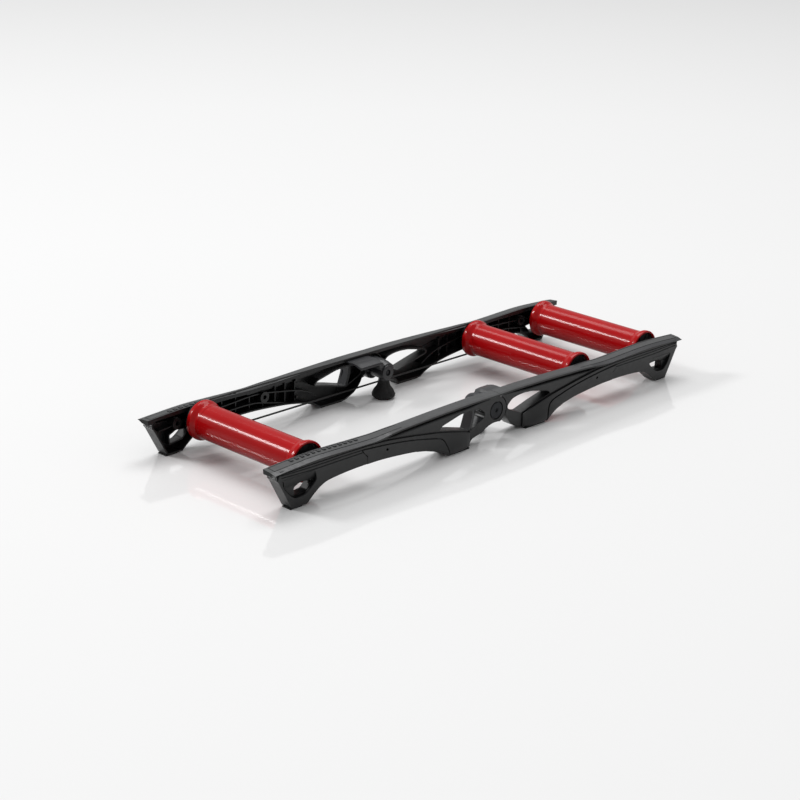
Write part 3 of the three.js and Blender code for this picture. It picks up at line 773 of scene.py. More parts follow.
# %% [markdown]
# Now the moulding itself, in four steps: its outlines, the outer skin with the raised panel,
# the hollow inside with the ribs that are left standing in it, and the cutters for the window,
# pockets, holes and the fine lines that a toolmaker engraves where two surfaces meet.

# %% What all half rails share
seats = [abs(x) for x in drum_x.values()]  # blind holes that the axles sit in
seat_depth, seat_boss = 21 * MM, 13 * MM
window = rounded(place(window_shares), 6 * MM)
hole = rounded(place(foot_hole_shares), 3 * MM)
dimple, dimple_depth = smooth(dimple_shares, True), 6 * MM
recess_depth = 8 * MM
shadow_depth = 5 * MM
beyond_flare = face + 2 * foot_flare
leg_from = 0.975  # these four are shares of the length
arm_low_to, arm_high_from = 0.56, 0.58  # between them the arm's top crosses the dark groove
foot_line_to = 0.42
nub_radius = 3 * MM
pivot = Vector((0, hinge_height))
bush_collar = 1 * MM
outer_knuckle = hinge_split + 2 * fit_gap + bush_collar
print("window", round((max(p.x for p in window) - min(p.x for p in window)) / MM), "mm long,",
      len(seats), "axle seats in each rail")

# %% Outlines of the skin
def rail_outlines(knuckle_outside):
    """The top line, the whole side view and the side view of the lower arm."""
    start = -flange_start if knuckle_outside else flange_start + running_gap
    top = [Vector((start, height_at(flange_top, start))), *[p for p in flange_top if p.x > start]]
    leg = [*place(leg_block_shares), *smooth(leg_shares)]
    leg_start = leg_from * rail_half
    underside = smooth(underside_shares)
    arch_shares = outer_arch_shares if knuckle_outside else inner_arch_shares
    arch = smooth([middle_foot_share, *arch_shares])
    below_top = Vector((0, 2 * MM))
    outline = clean([
        *[p - below_top for p in top if p.x < leg_start],
        *leg, *underside, *arch, pivot, Vector((start, rail_top - 5 * MM)),
    ])
    arm_top = [p for p in shadow_line[::-1] if p.x < arm_low_to * rail_half]
    above_line = Vector((0, 6 * MM))
    above = [p + above_line for p in shadow_line[::-1]
             if arm_high_from * rail_half < p.x < leg_start]
    lower_arm = clean([
        *leg[1:], *underside, place([middle_foot_share])[0], *arm_top, *above,
    ])
    return top, outline, lower_arm

# %% Skin and raised panel
def rail_skin(top, outline, lower_arm):
    skin = join(
        plate(outline, inner, arm),
        plate(lower_arm, arm - wall, face, 0, arm_round),
        flare(0),
        sweep(top, flange_section),
    )
    panel_ring = [*smooth(panel_line_shares), *place(panel_back_shares),
                  *smooth(short_line_shares[::-1])]
    panel = cut(
        overlap(
            plate(panel_ring, arm, beyond_flare),
            join(plate(lower_arm, arm - wall, face + panel_rise, 0, arm_round),
                 flare(panel_rise)),
        ),
        panel_fade(),
    )
    return join(skin, panel)

# %% The hollow and its ribs
def rail_hollow(top, outline, lower_arm, recess_ring):
    """What is taken out of the inside. A wall is left round every opening, and the ribs are
    cut out of this cutter, so that they stay in the moulding."""
    return cut(
        join(
            plate(grown(outline, -wall), inner - overrun, arm - wall),
            plate(grown(lower_arm, -wall), inner - overrun, face - wall - line_depth),
        ),
        plate(grown(window, wall), inner, arm),
        sweep(between(top, slot_from - 0.02, slot_to + 0.02), slot_section(wall)),
        plate(grown(recess_ring, wall), face - recess_depth - wall, face),
        plate(grown(place(foot_hole_shares), wall), inner + rib_setback, face),
        plate(ribbon(shadow_line, shadow_width + 2 * wall), face - shadow_depth - wall, face),
        *[plate(ribbon(smooth(line), rib), inner + rib_setback, face)
          for line in (upper_rib_shares, lower_rib_shares)],
        *[plate(box_ring(share * rail_half - rib / 2, share * rail_half + rib / 2, 0, rail_top),
                inner + 2 * rib_setback, face) for share in cross_rib_shares],
        *[rod(seat_boss, inner, face, x, axle_height) for x in seats],
        rod(hinge_inner + hub_margin, inner, hinge_split, *pivot, round_facets),
        plate(grown(dimple, wall), arm - dimple_depth, face),
        *[rod(nub_radius, inner + rib_setback, face, *nub) for nub in place(nub_shares)],
    )

# %% [markdown]
# The strip on the flange has a fine groove on each side and one across its end. The flange's
# end is cut off slanting. The window goes right through, but in the front halves a strut is
# left standing in it, and the half with the inner knuckle keeps a thin web beside the hinge.

# %% Cutters of the outside
tread_groove_width = 1.6 * MM
tread_groove_inset = 3 * MM
tread_groove_outer = tread_edge - 0.5 * MM
tread_from, tread_end_inset = 0.44, 8 * MM


def tread_groove(across):
    def section(x):
        rise = strip_rise(x, across)
        return [(across, rise - line_depth), (across + tread_groove_width, rise - line_depth),
                (across + tread_groove_width, rise + overrun), (across, rise + overrun)]
    return section


def tread_cutters(top):
    line = [p for p in between(top, tread_from, 1) if p.x < rail_half - tread_end_inset]
    turn = line[-1]
    turn_rise = turn.y + strip_rise(turn.x, (inner + tread_edge) / 2)
    tip = top[-1].y
    end_ring = [(rail_half - 2 * MM, tip - 16 * MM), (rail_half + overrun, tip - 16 * MM),
                (rail_half + overrun, tip + 6 * MM), (rail_half, tip + 4 * MM)]
    return [
        sweep(line, tread_groove(tread_groove_outer)),
        sweep(line, tread_groove(inner + tread_groove_inset)),
        plate(box_ring(turn.x - tread_groove_width, turn.x, turn_rise - line_depth,
                       turn_rise + 3 * MM),
              inner + tread_groove_inset, tread_groove_outer + tread_groove_width),
        plate(vectors(end_ring), inner - overrun, flange_edge + overrun),
    ]


def window_cutter(in_front, knuckle_outside):
    kept = []
    if in_front:
        kept.append(plate(place(strut_shares), inner, arm - 2 * MM))
    if in_front and not knuckle_outside:
        kept.append(plate(place(closed_shares), arm - 9 * MM, arm - 6 * MM))
    return cut(plate(window, inner - overrun, arm + overrun, mouth=0.6 * MM), *kept)


def engraved(shares, width, start, end):
    return plate(ribbon(smooth(shares), width), start, end)


def rail_cutters(top, recess_ring, in_front, knuckle_outside):
    lines = [upper_line_shares, lower_line_shares, short_line_shares]
    shadow_on_foot = [p for p in shadow_line if p.x < foot_line_to * rail_half]
    leg_lines = [leg_line_shares] if in_front else []
    return [
        window_cutter(in_front, knuckle_outside),
        sweep(between(top, slot_from, slot_to), slot_section(0)),
        plate(ribbon(shadow_line, shadow_width), face - shadow_depth, face + 0.4 * MM),
        plate(ribbon(shadow_on_foot, shadow_width), face - shadow_depth, beyond_flare),
        sloping_recess(rounded(recess_ring, 6 * MM), recess_depth),
        *[engraved(line, line_width, face - recess_depth - line_depth, face + overrun)
          for line in leg_lines],
        plate(hole, inner - overrun, face + overrun),
        plate(dimple, face - dimple_depth, face + foot_flare),
        *[rod(axle_radius + fit_gap, inner - overrun, inner + seat_depth, x, axle_height)
          for x in seats],
        *[engraved(line, line_width, face - line_depth, face + 2 * panel_rise)
          for line in lines],
        engraved(panel_line_shares, panel_line_width, face - panel_line_depth, beyond_flare),
        *tread_cutters(top),
    ]

# %% [markdown]
# At the hinge one half has its knuckle on the outside, with the pin's flush head in a
# counterbore, and the other half has it on the inside, where the bracket is screwed on. Each
# half is cut back round the knuckle of the other, so that they can turn past each other.

# %% Knuckles
bracket_screw_radius = 2 * MM
bracket_screw_circle = 22.3 * MM
bracket_screw_length = 14 * MM
pin_head_radius, pin_head_depth = 19.5 * MM, 3 * MM
pin_ring = 2.6 * MM  # width of the dark ring round the pin's head
inner_relief, outer_relief = 8 * MM, 2 * MM


def screw_places():
    return [
        (bracket_screw_circle * math.cos(math.pi / 2 + i * 2 * math.pi / 3),
         hinge_height + bracket_screw_circle * math.sin(math.pi / 2 + i * 2 * math.pi / 3))
        for i in range(3)
    ]


def knuckle_relief(knuckle_outside):
    if knuckle_outside:
        return rod(hinge_inner + inner_relief, inner - overrun, outer_knuckle, *pivot,
                   round_facets)
    return rod(hinge_outer + outer_relief, hinge_split, flange_edge + overrun, *pivot,
               round_facets)


def with_knuckle(shell, knuckle_outside):
    if knuckle_outside:
        knuckle = rod(hinge_outer, outer_knuckle, arm, *pivot, round_facets, edge=0.6 * MM)
        belly = [*smooth(belly_shares), *place([(0.03, 0.1), (-0.035, 0.1)])]
        bores = [
            plate(belly, outer_knuckle - overrun, arm + overrun),
            rod(pin_head_radius + pin_ring, arm - pin_head_depth, arm + overrun, *pivot,
                round_facets),
            rod(pin_radius + 2 * fit_gap + 2 * MM, inner - overrun, arm + overrun, *pivot),
        ]
    else:
        knuckle = rod(hinge_inner, inner, hinge_split, *pivot, round_facets, edge=0.8 * MM)
        bores = [
            rod(pin_radius + fit_gap, inner - overrun, arm + overrun, *pivot),
            *[rod(bracket_screw_radius + fit_gap, inner - overrun,
                  inner + bracket_screw_length + overrun, x, z) for x, z in screw_places()],
        ]
    return cut(join(shell, knuckle), *bores)


def half_rail(knuckle_outside, in_front):
    top, outline, lower_arm = rail_outlines(knuckle_outside)
    recess_ring = place(foot_recess_shares if in_front else rear_recess_shares)
    shell = cut(
        rail_skin(top, outline, lower_arm),
        rail_hollow(top, outline, lower_arm, recess_ring),
        *rail_cutters(top, recess_ring, in_front, knuckle_outside),
        knuckle_relief(knuckle_outside),
    )
    shell = with_knuckle(shell, knuckle_outside)
    return join(shell, *ladder()) if in_front else shell

# %% [markdown]
# A ladder of small cross pads on the inner strip of the front flanges gives grip to a shoe
# when the rider steps on.

# %% The ladder of pads
ladder_from, ladder_to = 434 * MM, 620 * MM
ladder_count = 13
ladder_pad = (7.5 * MM, 9 * MM, 1.3 * MM)  # along the rail, across it, and half its height
ladder_inset = 5.2 * MM
print(ladder_count, "pads over", round((ladder_to - ladder_from) / MM), "mm of each front half")


def strip_height(x):
    return height_at(flange_top, x) + strip_rise(x, inner + ladder_inset)


def ladder():
    made = []
    wide, deep, tall = ladder_pad
    for i in range(ladder_count):
        x = ladder_from + (ladder_to - ladder_from) * i / (ladder_count - 1)
        left, right = strip_height(x - wide / 2), strip_height(x + wide / 2)
        ring = [Vector((x - wide / 2, left - tall)), Vector((x + wide / 2, right - tall)),
                Vector((x + wide / 2, right + tall)), Vector((x - wide / 2, left + tall))]
        made.append(plate(rounded(ring, 0.5 * MM, 2), inner + ladder_inset,
                          inner + ladder_inset + deep, 0.4 * MM, 0.4 * MM))
    return made

# %% [markdown]
# Each face of the mesh is given a material by its place and the way it faces. The upward faces
# on top of the flange's strip get the rougher nylon in a lighter grey, and the sloping band, the
# pads and the strut in the window get the lighter smooth nylon, both as painted light. The faces
# of the sawn-off end get the near-black rubber as painted shade.

# %% Make the four half rails
rail_materials = [nylon, tread_nylon_painted_lit, fine_nylon_and_painted_light, rubber]
even, coarse_and_lit, smooth_and_lit, painted_shade_end = range(4)
facing = 0.6  # the part of its normal that makes a face count as facing up or outwards
flange_above = 0.8 * rail_top
strut_from, strut_to, strut_above = 0.1, 0.14, 0.3 * rail_top
sawn_from = 0.985


# Painted light and shade by the way a face points: lighter nylon on upward flange faces and on the strut,
# near-black rubber on the end faces.
def grain_and_painted_light_of(normal, x, y, z):
    share = x / rail_half
    if normal.z > facing and z > flange_above:
        on_strip = z < strip_height(x) + 0.4 * MM and (y < tread_edge or share < 0.5)
        return coarse_and_lit if on_strip else smooth_and_lit
    inside_window = inner + 1 * MM < y < arm - 1 * MM
    # painted light: the strut's faces inside the window get the lighter nylon
    if strut_from < share < strut_to and inside_window and z > strut_above:
        return smooth_and_lit
    # painted shade: the end faces of the flange get the near-black rubber
    return painted_shade_end if share > sawn_from and abs(normal.x) > facing else even


ends = {"front": -1, "rear": 1}
sides = {"left": -1, "right": 1}
for end_name, end in ends.items():
    for side_name, side in sides.items():
        corner = f"{end_name}_{side_name}"
        piece = half_rail(end == side, end < 0)
        finish_piece(piece, f"half_rail_{corner}", f"rail_{corner}", rail_materials, end, side)
        for polygon in piece.data.polygons:
            x, y, z = polygon.center
            polygon.material_index = grain_and_painted_light_of(polygon.normal, abs(x), abs(y), z)
        print(piece.name, len(piece.data.polygons), "faces")

# %% [markdown]
# ## Drums
# A drum is a tube with a collar pressed into each end. The collar flares to a rim that keeps
# the wheel on. Turned pieces are one profile each: radius and place along the axis.

# %% Drum sizes
collar_low, collar_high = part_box("front_collar_left")
drum_radius, rim_radius = 40 * MM, collar_high.z - axle_height
half_drum = -collar_low.y
tube_half = half_drum - 31 * MM  # a collar takes up the rest
drum_wall = 3 * MM
cap_recess, cap_thick, cap_dish = 2.8 * MM, 8.6 * MM, 4 * MM
cap_outer = half_drum - cap_recess
cap_inner = cap_outer - cap_thick
rim_wall = 4.9 * MM
cap_radius = rim_radius - rim_wall - fit_gap
bearing_radius, bearing_width, bearing_lip = 11 * MM, 7 * MM, 2.2 * MM
cap_seat = cap_outer - bearing_width
belt_radius, belt_turn = 2.2 * MM, 40 * MM
belt_plane = half_drum + 4 * MM
print("drums", round(2 * drum_radius / MM), "mm across, rims", round(2 * rim_radius / MM), "mm")


def softened(profile, radius):
    """A turned profile with small radii instead of sharp corners."""
    return [tuple(p) for p in rounded(vectors(profile), radius, 2)]


def drum_tube(x):
    return lathe(softened([
        (drum_radius - drum_wall, -tube_half), (drum_radius, -tube_half),
        (drum_radius, tube_half), (drum_radius - drum_wall, tube_half),
    ], 0.15 * MM), x, axle_height)


def drum_collar(x):
    spigot, body = drum_radius - drum_wall - fit_gap, drum_radius + 0.3 * MM
    start = tube_half + fit_gap
    flare_start = start + 6 * MM
    flare_length, steps = 17 * MM, 12
    swell = [
        (body + (rim_radius - body) * (1 - math.cos(math.pi * k / steps)) / 2,
         flare_start + flare_length * k / steps) for k in range(1, steps)
    ]
    return lathe([
        (spigot - drum_wall, tube_half - 15 * MM), (spigot, tube_half - 15 * MM),
        (spigot, start), *from_corner(body, start, (-0.2, 0), (0, 0.2)),
        (body, flare_start), *swell, (rim_radius, flare_start + flare_length),
        *from_corner(rim_radius, half_drum, (0, -2.2), (-0.65, -0.65), (-2.2, 0)),
        *from_corner(rim_radius - rim_wall, half_drum, (0.5, 0), (0, -0.5)),
        (rim_radius - rim_wall, cap_inner - fit_gap), (spigot - drum_wall, cap_inner - fit_gap),
    ], x, axle_height)

# %% [markdown]
# The end cap carries the bearing. Its outer face lies deep in the collar and is dished between
# a hub and a rim, with a ring of shallow webs. On the belt side, the front and the middle cap
# reach out of the collar instead and grow a grooved pulley.

# %% End caps and bearings
web_count = 8


def drum_cap(x, with_pulley):
    hub = bearing_radius + fit_gap
    dish = 1.6 * MM
    level = cap_outer if with_pulley else cap_outer - cap_dish
    if with_pulley:
        groove = belt_turn - belt_radius - 2 * fit_gap
        lip, lip_radius = 1.4 * MM, belt_turn + 2.4 * MM
        near, far = (belt_plane + s * (belt_radius + fit_gap) for s in (-1, 1))
        seat = half_drum + 2 * fit_gap
        rim = [
            (cap_radius, seat), (lip_radius - 0.4 * MM, seat), (lip_radius, near - 0.5 * MM),
            (lip_radius, near - 0.2 * MM), (groove + 0.6 * MM, near + 0.4 * MM),
            (groove, belt_plane), (groove + 0.6 * MM, far - 0.4 * MM),
            (lip_radius, far + 0.2 * MM),
            (lip_radius - 0.5 * MM, far + lip), (groove - drum_wall, far + lip),
            (groove - drum_wall - 0.5 * MM, cap_outer),
        ]
    else:
        rim = [(cap_radius, level - 0.6 * MM), (cap_radius - 0.6 * MM, level),
               (cap_radius - 3 * MM, level)]
    inner_rim = rim[-1][0]
    made = lathe([
        (hub - bearing_lip, cap_inner - 5 * MM), (hub + 4 * MM, cap_inner - 5 * MM),
        (hub + 4 * MM, cap_inner), (cap_radius, cap_inner), *rim,
        (inner_rim - 1 * MM, level - dish), (hub + 5 * MM, level - dish),
        (hub + 4 * MM, cap_outer), (hub + 0.5 * MM, cap_outer), (hub, cap_outer - 0.5 * MM),
        (hub, cap_seat - fit_gap), (hub - bearing_lip, cap_seat - fit_gap),
    ], x, axle_height)
    centre = Vector((x, axle_height))
    webs = []
    for i in range(web_count):
        angle = 2 * math.pi * (i + 0.5) / web_count
        spoke = Vector((math.cos(angle), math.sin(angle)))
        path = [centre + spoke * (hub + 3 * MM), centre + spoke * (inner_rim - 0.4 * MM)]
        webs.append(plate(ribbon(path, 1.8 * MM), level - 2 * dish, level - 0.3 * MM))
    return join(made, *webs)


def drum_bearing(x):
    race = 1.8 * MM
    bore = axle_radius + fit_gap
    shield = 0.5 * MM
    return lathe([
        (bore, cap_seat), (bearing_radius, cap_seat),
        *from_corner(bearing_radius, cap_outer, (0, -0.3), (-0.3, 0)),
        (bearing_radius - race, cap_outer), (bearing_radius - race, cap_outer - shield),
        (bore + race, cap_outer - shield), (bore + race, cap_outer),
        *from_corner(bore, cap_outer, (0.3, 0), (0, -0.3)),
    ], x, axle_height)

# %% [markdown]
# ## Axles and their nuts
# The axles don't turn: each is a rod whose ends sit in blind holes in the rails, with a collared
# hexagon nut against each rail that holds the bearing in place.

# %% Axles and nuts
def hexagon(radius, x, z):
    return circle(radius, x, z, 6)


def chamfered_hex(radius, start, end, x, z):
    """A hexagon whose corners are turned off on both faces, as on a real nut."""
    cone = 0.14 * radius
    turned_off = lathe([
        (0, start), (radius - cone, start), (radius, start + cone * 0.6),
        (radius, end - cone * 0.6), (radius - cone, end), (0, end),
    ], x, z, small_facets)
    return overlap(plate(hexagon(radius, x, z), start, end), turned_off)


def axle_rod(x):
    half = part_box("front_axle")[1].y
    return rod(axle_radius, -half, half, x, axle_height, small_facets, edge=0.6 * MM)


def axle_nut(x):
    seat = inner - fit_gap
    bore = axle_radius + fit_gap
    collar = rod(bore + 2.5 * MM, cap_outer + fit_gap, seat - 1 * MM, x, axle_height,
                 small_facets, edge=0.3 * MM)
    return cut(
        join(chamfered_hex(9.2 * MM, seat - 4.5 * MM, seat, x, axle_height), collar),
        rod(bore, cap_outer - overrun, seat + overrun, x, axle_height),
    )

# %% Put the drums together
for drum_name, x in drum_x.items():
    finish_piece(drum_tube(x), f"{drum_name}_tube_skin", f"{drum_name}_drum_tube", red)
    finish_piece(axle_rod(x), f"{drum_name}_axle_rod", f"{drum_name}_axle", zinc)
    for side_name, side in sides.items():
        tail = f"{drum_name}_{{}}_{side_name}"
        with_pulley = side > 0 and drum_name != "rear"
        for made, word, node_word, finish in (
            (drum_collar(x), "flared_collar", "collar", red),
            (drum_cap(x, with_pulley), "end_cap", "cap", cap_abs),
            (drum_bearing(x), "ball_bearing", "bearing", zinc),
            (axle_nut(x), "hexagon_nut", "axle_nut", zinc),
        ):
            finish_piece(made, tail.format(word), tail.format(node_word), finish, 1, side)
print("drums at", {name: round(x / MM) for name, x in drum_x.items()})

# %% [markdown]
# ## The belt
# A round belt is one ring of a circular section. It crosses the hinge, so when the rollers
# fold it has to bend there; here it is one fixed ring, made of many short steps, that is not
# tied to either half.

# %% Belt
straight_step, turn_facets, belt_facets = 8 * MM, 40, 14


def belt_path():
    path = []
    for x, start in ((drum_x["middle"], -math.pi / 2), (drum_x["front"], math.pi / 2)):
        for i in range(turn_facets):
            angle = start + math.pi * i / turn_facets
            path.append(Vector((x + belt_turn * math.cos(angle),
                                axle_height + belt_turn * math.sin(angle))))
        direction = -1 if x > 0 else 1
        height = axle_height - direction * belt_turn
        length = drum_x["middle"] - drum_x["front"]
        steps = round(length / straight_step)
        for i in range(steps):
            path.append(Vector((x + direction * length * i / steps, height)))
    return path


def round_belt():
    path = belt_path()
    turns = [2 * math.pi * k / belt_facets for k in range(belt_facets)]
    rings = []
    for i, point in enumerate(path):
        along = path[(i + 1) % len(path)] - path[i - 1]
        across = Vector((along.y, 0, -along.x)).normalized()
        centre = Vector((point.x, belt_plane, point.y))
        rings.append([
            centre + across * belt_radius * math.cos(turn)
            + Vector((0, belt_radius * math.sin(turn), 0)) for turn in turns
        ])
    return solid("belt", rings, ends=False)


belt = round_belt()
belt.name = "round_belt"
belt.data.materials.append(belt_rubber)
belt.data.shade_smooth()
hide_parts("drive_belt")
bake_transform(belt)
print("belt ring of", len(belt.data.vertices), "points")

# %% [markdown]
# ## Hinge brackets
# Inside each rail a bracket holds the hinge pin. It is a barrel on the hinge axis with a step
# plate for the rider's foot on top, and a curved hood leads from the plate down to the barrel.
# Below is a bell-shaped foot that carries the weight in the middle. The bell, up to bell_top, is
# given the near-black rubber material.

# %% Bracket sizes and shape
barrel_radius = 18.5 * MM
bracket_seat = inner - fit_gap
barrel_end = bracket_seat - 54.7 * MM
step_inner = bracket_seat - 50.7 * MM
base_radius, base_thick = 26.5 * MM, 5 * MM
step_top = rail_top - 3 * MM
step_thick = 5 * MM
step_reach = {"left": 54 * MM, "right": 88 * MM}
foot_plane = sum(c.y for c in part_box("centre_pad_right")) / 2
foot_wide, foot_top, foot_bottom = 28.5 * MM, 13.5 * MM, 24.5 * MM
foot_wide_height = 11 * MM
bell_top = 46 * MM  # the rubber ends here
bell_facets = 80
flutes, flute_depth, flute_fade = 5, 2.2 * MM, 12 * MM
nut_depth, nut_radius = 9 * MM, 7.5 * MM
print("step plates", [round(reach / MM) for reach in step_reach.values()], "mm past the hinge")


def bell_foot():
    """A turned bell round an upright axis, with flutes pressed into its flanks."""
    profile = curve_through([
        Vector((foot_wide, foot_wide_height)), Vector((foot_wide * 0.87, 20 * MM)),
        Vector((foot_top * 1.2, 33 * MM)), Vector((foot_top, bell_top)),
        Vector((foot_top, hinge_height - 6 * MM)),
    ], step=3 * MM)
    heights = [Vector((foot_bottom, floor_gap)), Vector((foot_wide - 0.4 * MM, 6 * MM)),
               *profile]
    rings = []
    for p in heights:
        fade = min(1, max(0, (p.y - foot_wide_height) / flute_fade))
        fade *= min(1, max(0, (bell_top - p.y) / flute_fade))
        ring = []
        for i in range(bell_facets):
            angle = 2 * math.pi * i / bell_facets
            pressed = max(0.0, math.cos(flutes * angle)) ** 2 * flute_depth
            r = p.x - pressed * fade
            ring.append(Vector((r * math.cos(angle), foot_plane + r * math.sin(angle), p.y)))
        rings.append(ring)
    return solid("bell", rings)


# %% The step plate and its hood
hood_fall, fall_from, fall_to = 11.6 * MM, -22, 26
hood_stations = [  # mm from its inner end, and how far the rim lies below the plate there
    (0, 1.8), (0.5, 0.6), (1.5, 0), (2.6, 0.4), (3.6, 1), (8, 1), (14, 1), (20, 1), (30, 1),
    (40, 1), (50.7, 1),
]


def step_hood(reach):
    """The step plate and the hood that leads from it down to the barrel, in one skin. It falls
    towards the middle of the rollers and ends in a fine raised rim."""
    crown = hinge_height + barrel_radius
    below_plate = step_top - step_thick
    left = curve_through([
        *from_corner(-barrel_radius, hinge_height, (0, -4), (-3, 9)),
        *from_corner(0, crown, (-19, 2), (-11, 8), (-1, 9.5), (8, 7.5)),
    ])
    right = [
        *from_corner(0, crown, (11, 8.5)), *from_corner(0, step_top, (14, -1.5), (24, 0)),
        *from_corner(reach, step_top, (-8, 0), (-3.5, 0), (-1.6, 1), (-0.4, 0), (0, -1.6)),
        *from_corner(reach, below_plate, (0, 1), (-1, 0)),
        *from_corner(0, below_plate, (28, 0)), *from_corner(0, step_top, (21, -9), (18.5, -17)),
        *from_corner(0, hinge_height, (14, -4)),
    ]
    ring = clean([*left, *vectors(right)])
    rings = []
    for deep, dip in hood_stations:
        fall = hood_fall * (1 - ease(deep, fall_from, fall_to))
        made = []
        for p in ring:
            weight = ease(p.y, hinge_height, below_plate)
            lip = dip * MM if p.y > step_top - 3.2 * MM and p.x > 12 * MM else 0
            made.append(Vector((p.x, step_inner + deep * MM, p.y - fall * weight - lip)))
        rings.append(made)
    return solid("hood", rings)


# %% The whole bracket
def hinge_bracket(reach):
    pivot = (0, hinge_height)
    base_inner = bracket_seat - base_thick
    barrel = lathe([
        (0, barrel_end),
        *from_corner(barrel_radius, barrel_end, (-1.6, 0), (-0.5, 0.5), (0, 1.6)),
        *from_corner(barrel_radius, base_inner, (0, -3), (0.9, -0.9), (3, 0)),
        *from_corner(base_radius, base_inner, (-1, 0), (0, 1)),
        (base_radius, bracket_seat), (0, bracket_seat),
    ], *pivot)
    nut_seat = barrel_end + nut_depth
    return cut(
        join(barrel, bell_foot(), step_hood(reach)),
        rod(pin_radius + fit_gap, barrel_end - overrun, bracket_seat + overrun, *pivot),
        rod(nut_radius + fit_gap, barrel_end - overrun, nut_seat, *pivot),
        *[rod(bracket_screw_radius + fit_gap, base_inner - overrun, bracket_seat + overrun, x, z)
          for x, z in screw_places()],
    )

# %% [markdown]
# ## Hinge hardware
# The pin has a wide flat head with a hexagon socket. It lies flush in the counterbore of the
# outer knuckle, so that nothing can snag on it. A bush turns on the pin in that knuckle, and a
# nut hides in the barrel of the bracket.

# %% Pins, bushes, nuts and screws
dimple_radius = 7.4 * MM  # a shallow round dimple about the socket
socket_radius, socket_depth = 5 * MM, 2.4 * MM
nut_thick = 6 * MM


def hinge_pin():
    top = arm
    head = arm - pin_head_depth + fit_gap
    tip = barrel_end + 2 * MM
    radius = pin_head_radius
    return cut(
        lathe([
            (0, tip), *from_corner(pin_radius, tip, (-0.8, 0), (0, 0.8)), (pin_radius, head),
            *from_corner(radius, head, (-0.3, 0), (0, 0.3)),
            *from_corner(radius, top, (0, -0.8), (-0.8, 0)),
            *from_corner(dimple_radius, top, (0, 0), (-0.8, -0.6)), (0, top - 0.6 * MM),
        ], 0, hinge_height),
        plate(hexagon(socket_radius, 0, hinge_height), top - socket_depth, top + overrun),
    )


def hinge_bush():
    bore = pin_radius + fit_gap
    start = hinge_split + fit_gap
    return lathe(softened([
        (bore, start), (12 * MM, start), (12 * MM, start + 1 * MM),
        (bore + 2 * MM, start + 1 * MM), (bore + 2 * MM, arm - pin_head_depth),
        (bore, arm - pin_head_depth),
    ], 0.25 * MM), 0, hinge_height)


def hinge_nut():
    seat = barrel_end + nut_depth - fit_gap
    return cut(chamfered_hex(nut_radius, seat - nut_thick, seat, 0, hinge_height),
               rod(pin_radius + fit_gap, seat - nut_thick - overrun, seat + overrun, 0,
                   hinge_height))


def bracket_screw(x, z):
    seat = bracket_seat - base_thick - fit_gap
    tip = bracket_seat + bracket_screw_length
    head = 3.2 * MM
    body = lathe([
        (0, seat - 2.2 * MM), (head * 0.55, seat - 2.2 * MM), (head * 0.88, seat - 1.5 * MM),
        (head, seat - 0.5 * MM), (head, seat), (bracket_screw_radius, seat),
        *from_corner(bracket_screw_radius, tip, (0, -1), (-1, 0)), (0, tip),
    ], x, z, small_facets)
    slots = [
        plate(ribbon([Vector((x, z)) - reach, Vector((x, z)) + reach], 0.8 * MM),
              seat - 3 * MM, seat - 1.1 * MM)
        for reach in (Vector((2 * MM, 0)), Vector((0, 2 * MM)))
    ]
    return cut(body, *slots)


for side_name, side in sides.items():
    bracket = hinge_bracket(step_reach[side_name])
    finish_piece(bracket, f"step_bracket_{side_name}", f"hinge_bracket_{side_name}",
                 [fine_nylon_and_painted_light, rubber], -side, side)
    for polygon in bracket.data.polygons:
        # the bell below bell_top gets the near-black rubber material
        polygon.material_index = int(polygon.center.z < bell_top)
    for maker, word, node_word, finish in (
        (hinge_pin, "socket_pin", "hinge_pin", black_oxide),
        (hinge_bush, "collared_bush", "hinge_bush", bronze),
        (hinge_nut, "barrel_nut", "hinge_nut", black_oxide),
    ):
        finish_piece(maker(), f"{word}_{side_name}", f"{node_word}_{side_name}", finish, 1, side)
    for i, (x, z) in enumerate(screw_places(), 1):
        finish_piece(bracket_screw(x, z), f"cross_screw_{side_name}_{i}",
                     f"bracket_screw_{side_name}_{i}", black_oxide, -side, side)

# %% [markdown]
# ## Rubber pads
# Pads under the feet keep the rollers still and the floor unmarked. They are moulded with
# rounded edges and a few grooves underneath.

# %% Pads
pad_edge = 0.7 * MM
pad_grooves, groove_half, groove_deep = 3, 0.6 * MM, 0.8 * MM


def foot_pad(node):
    low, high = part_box(node)
    x0, x1 = sorted((abs(low.x), abs(high.x)))
    y0, y1 = sorted((abs(low.y), abs(high.y)))
    ring = rounded(box_ring(x0, x1, low.z, high.z), pad_edge, 3)
    spots = [x0 + (x1 - x0) * (i + 1) / (pad_grooves + 1) for i in range(pad_grooves)]
    return cut(plate(ring, y0, y1, pad_edge, pad_edge), *[
        plate(box_ring(spot - groove_half, spot + groove_half, low.z - overrun,
                       low.z + groove_deep), y0 - overrun, y1 + overrun) for spot in spots
    ])


def centre_pad(node):
    low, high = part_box(node)
    radius = (high.x - low.x) / 2
    middle = sum(sorted((abs(low.y), abs(high.y)))) / 2
    return solid("disc", [
        [Vector((p.x, p.y, z)) for p in circle(r, 0, middle, small_facets)]
        for r, z in ((radius - 4 * MM, 0), (radius - pad_edge, 0), (radius, pad_edge),
                     (radius, high.z - 0.5 * MM), (radius - 0.5 * MM, high.z))
    ])


for side_name, side in sides.items():
    finish_piece(centre_pad(f"centre_pad_{side_name}"), f"foot_disc_{side_name}",
                 f"centre_pad_{side_name}", rubber, -side, side)
    for end_name, end in ends.items():
        for spot in ("end", "mid"):
            node = f"{spot}_pad_{end_name}_{side_name}"
            finish_piece(foot_pad(node), f"rubber_{node}", node, rubber, end, side)
print(len(made_pieces) + 1, "pieces stand for", len(frame["nodes"]), "solids")

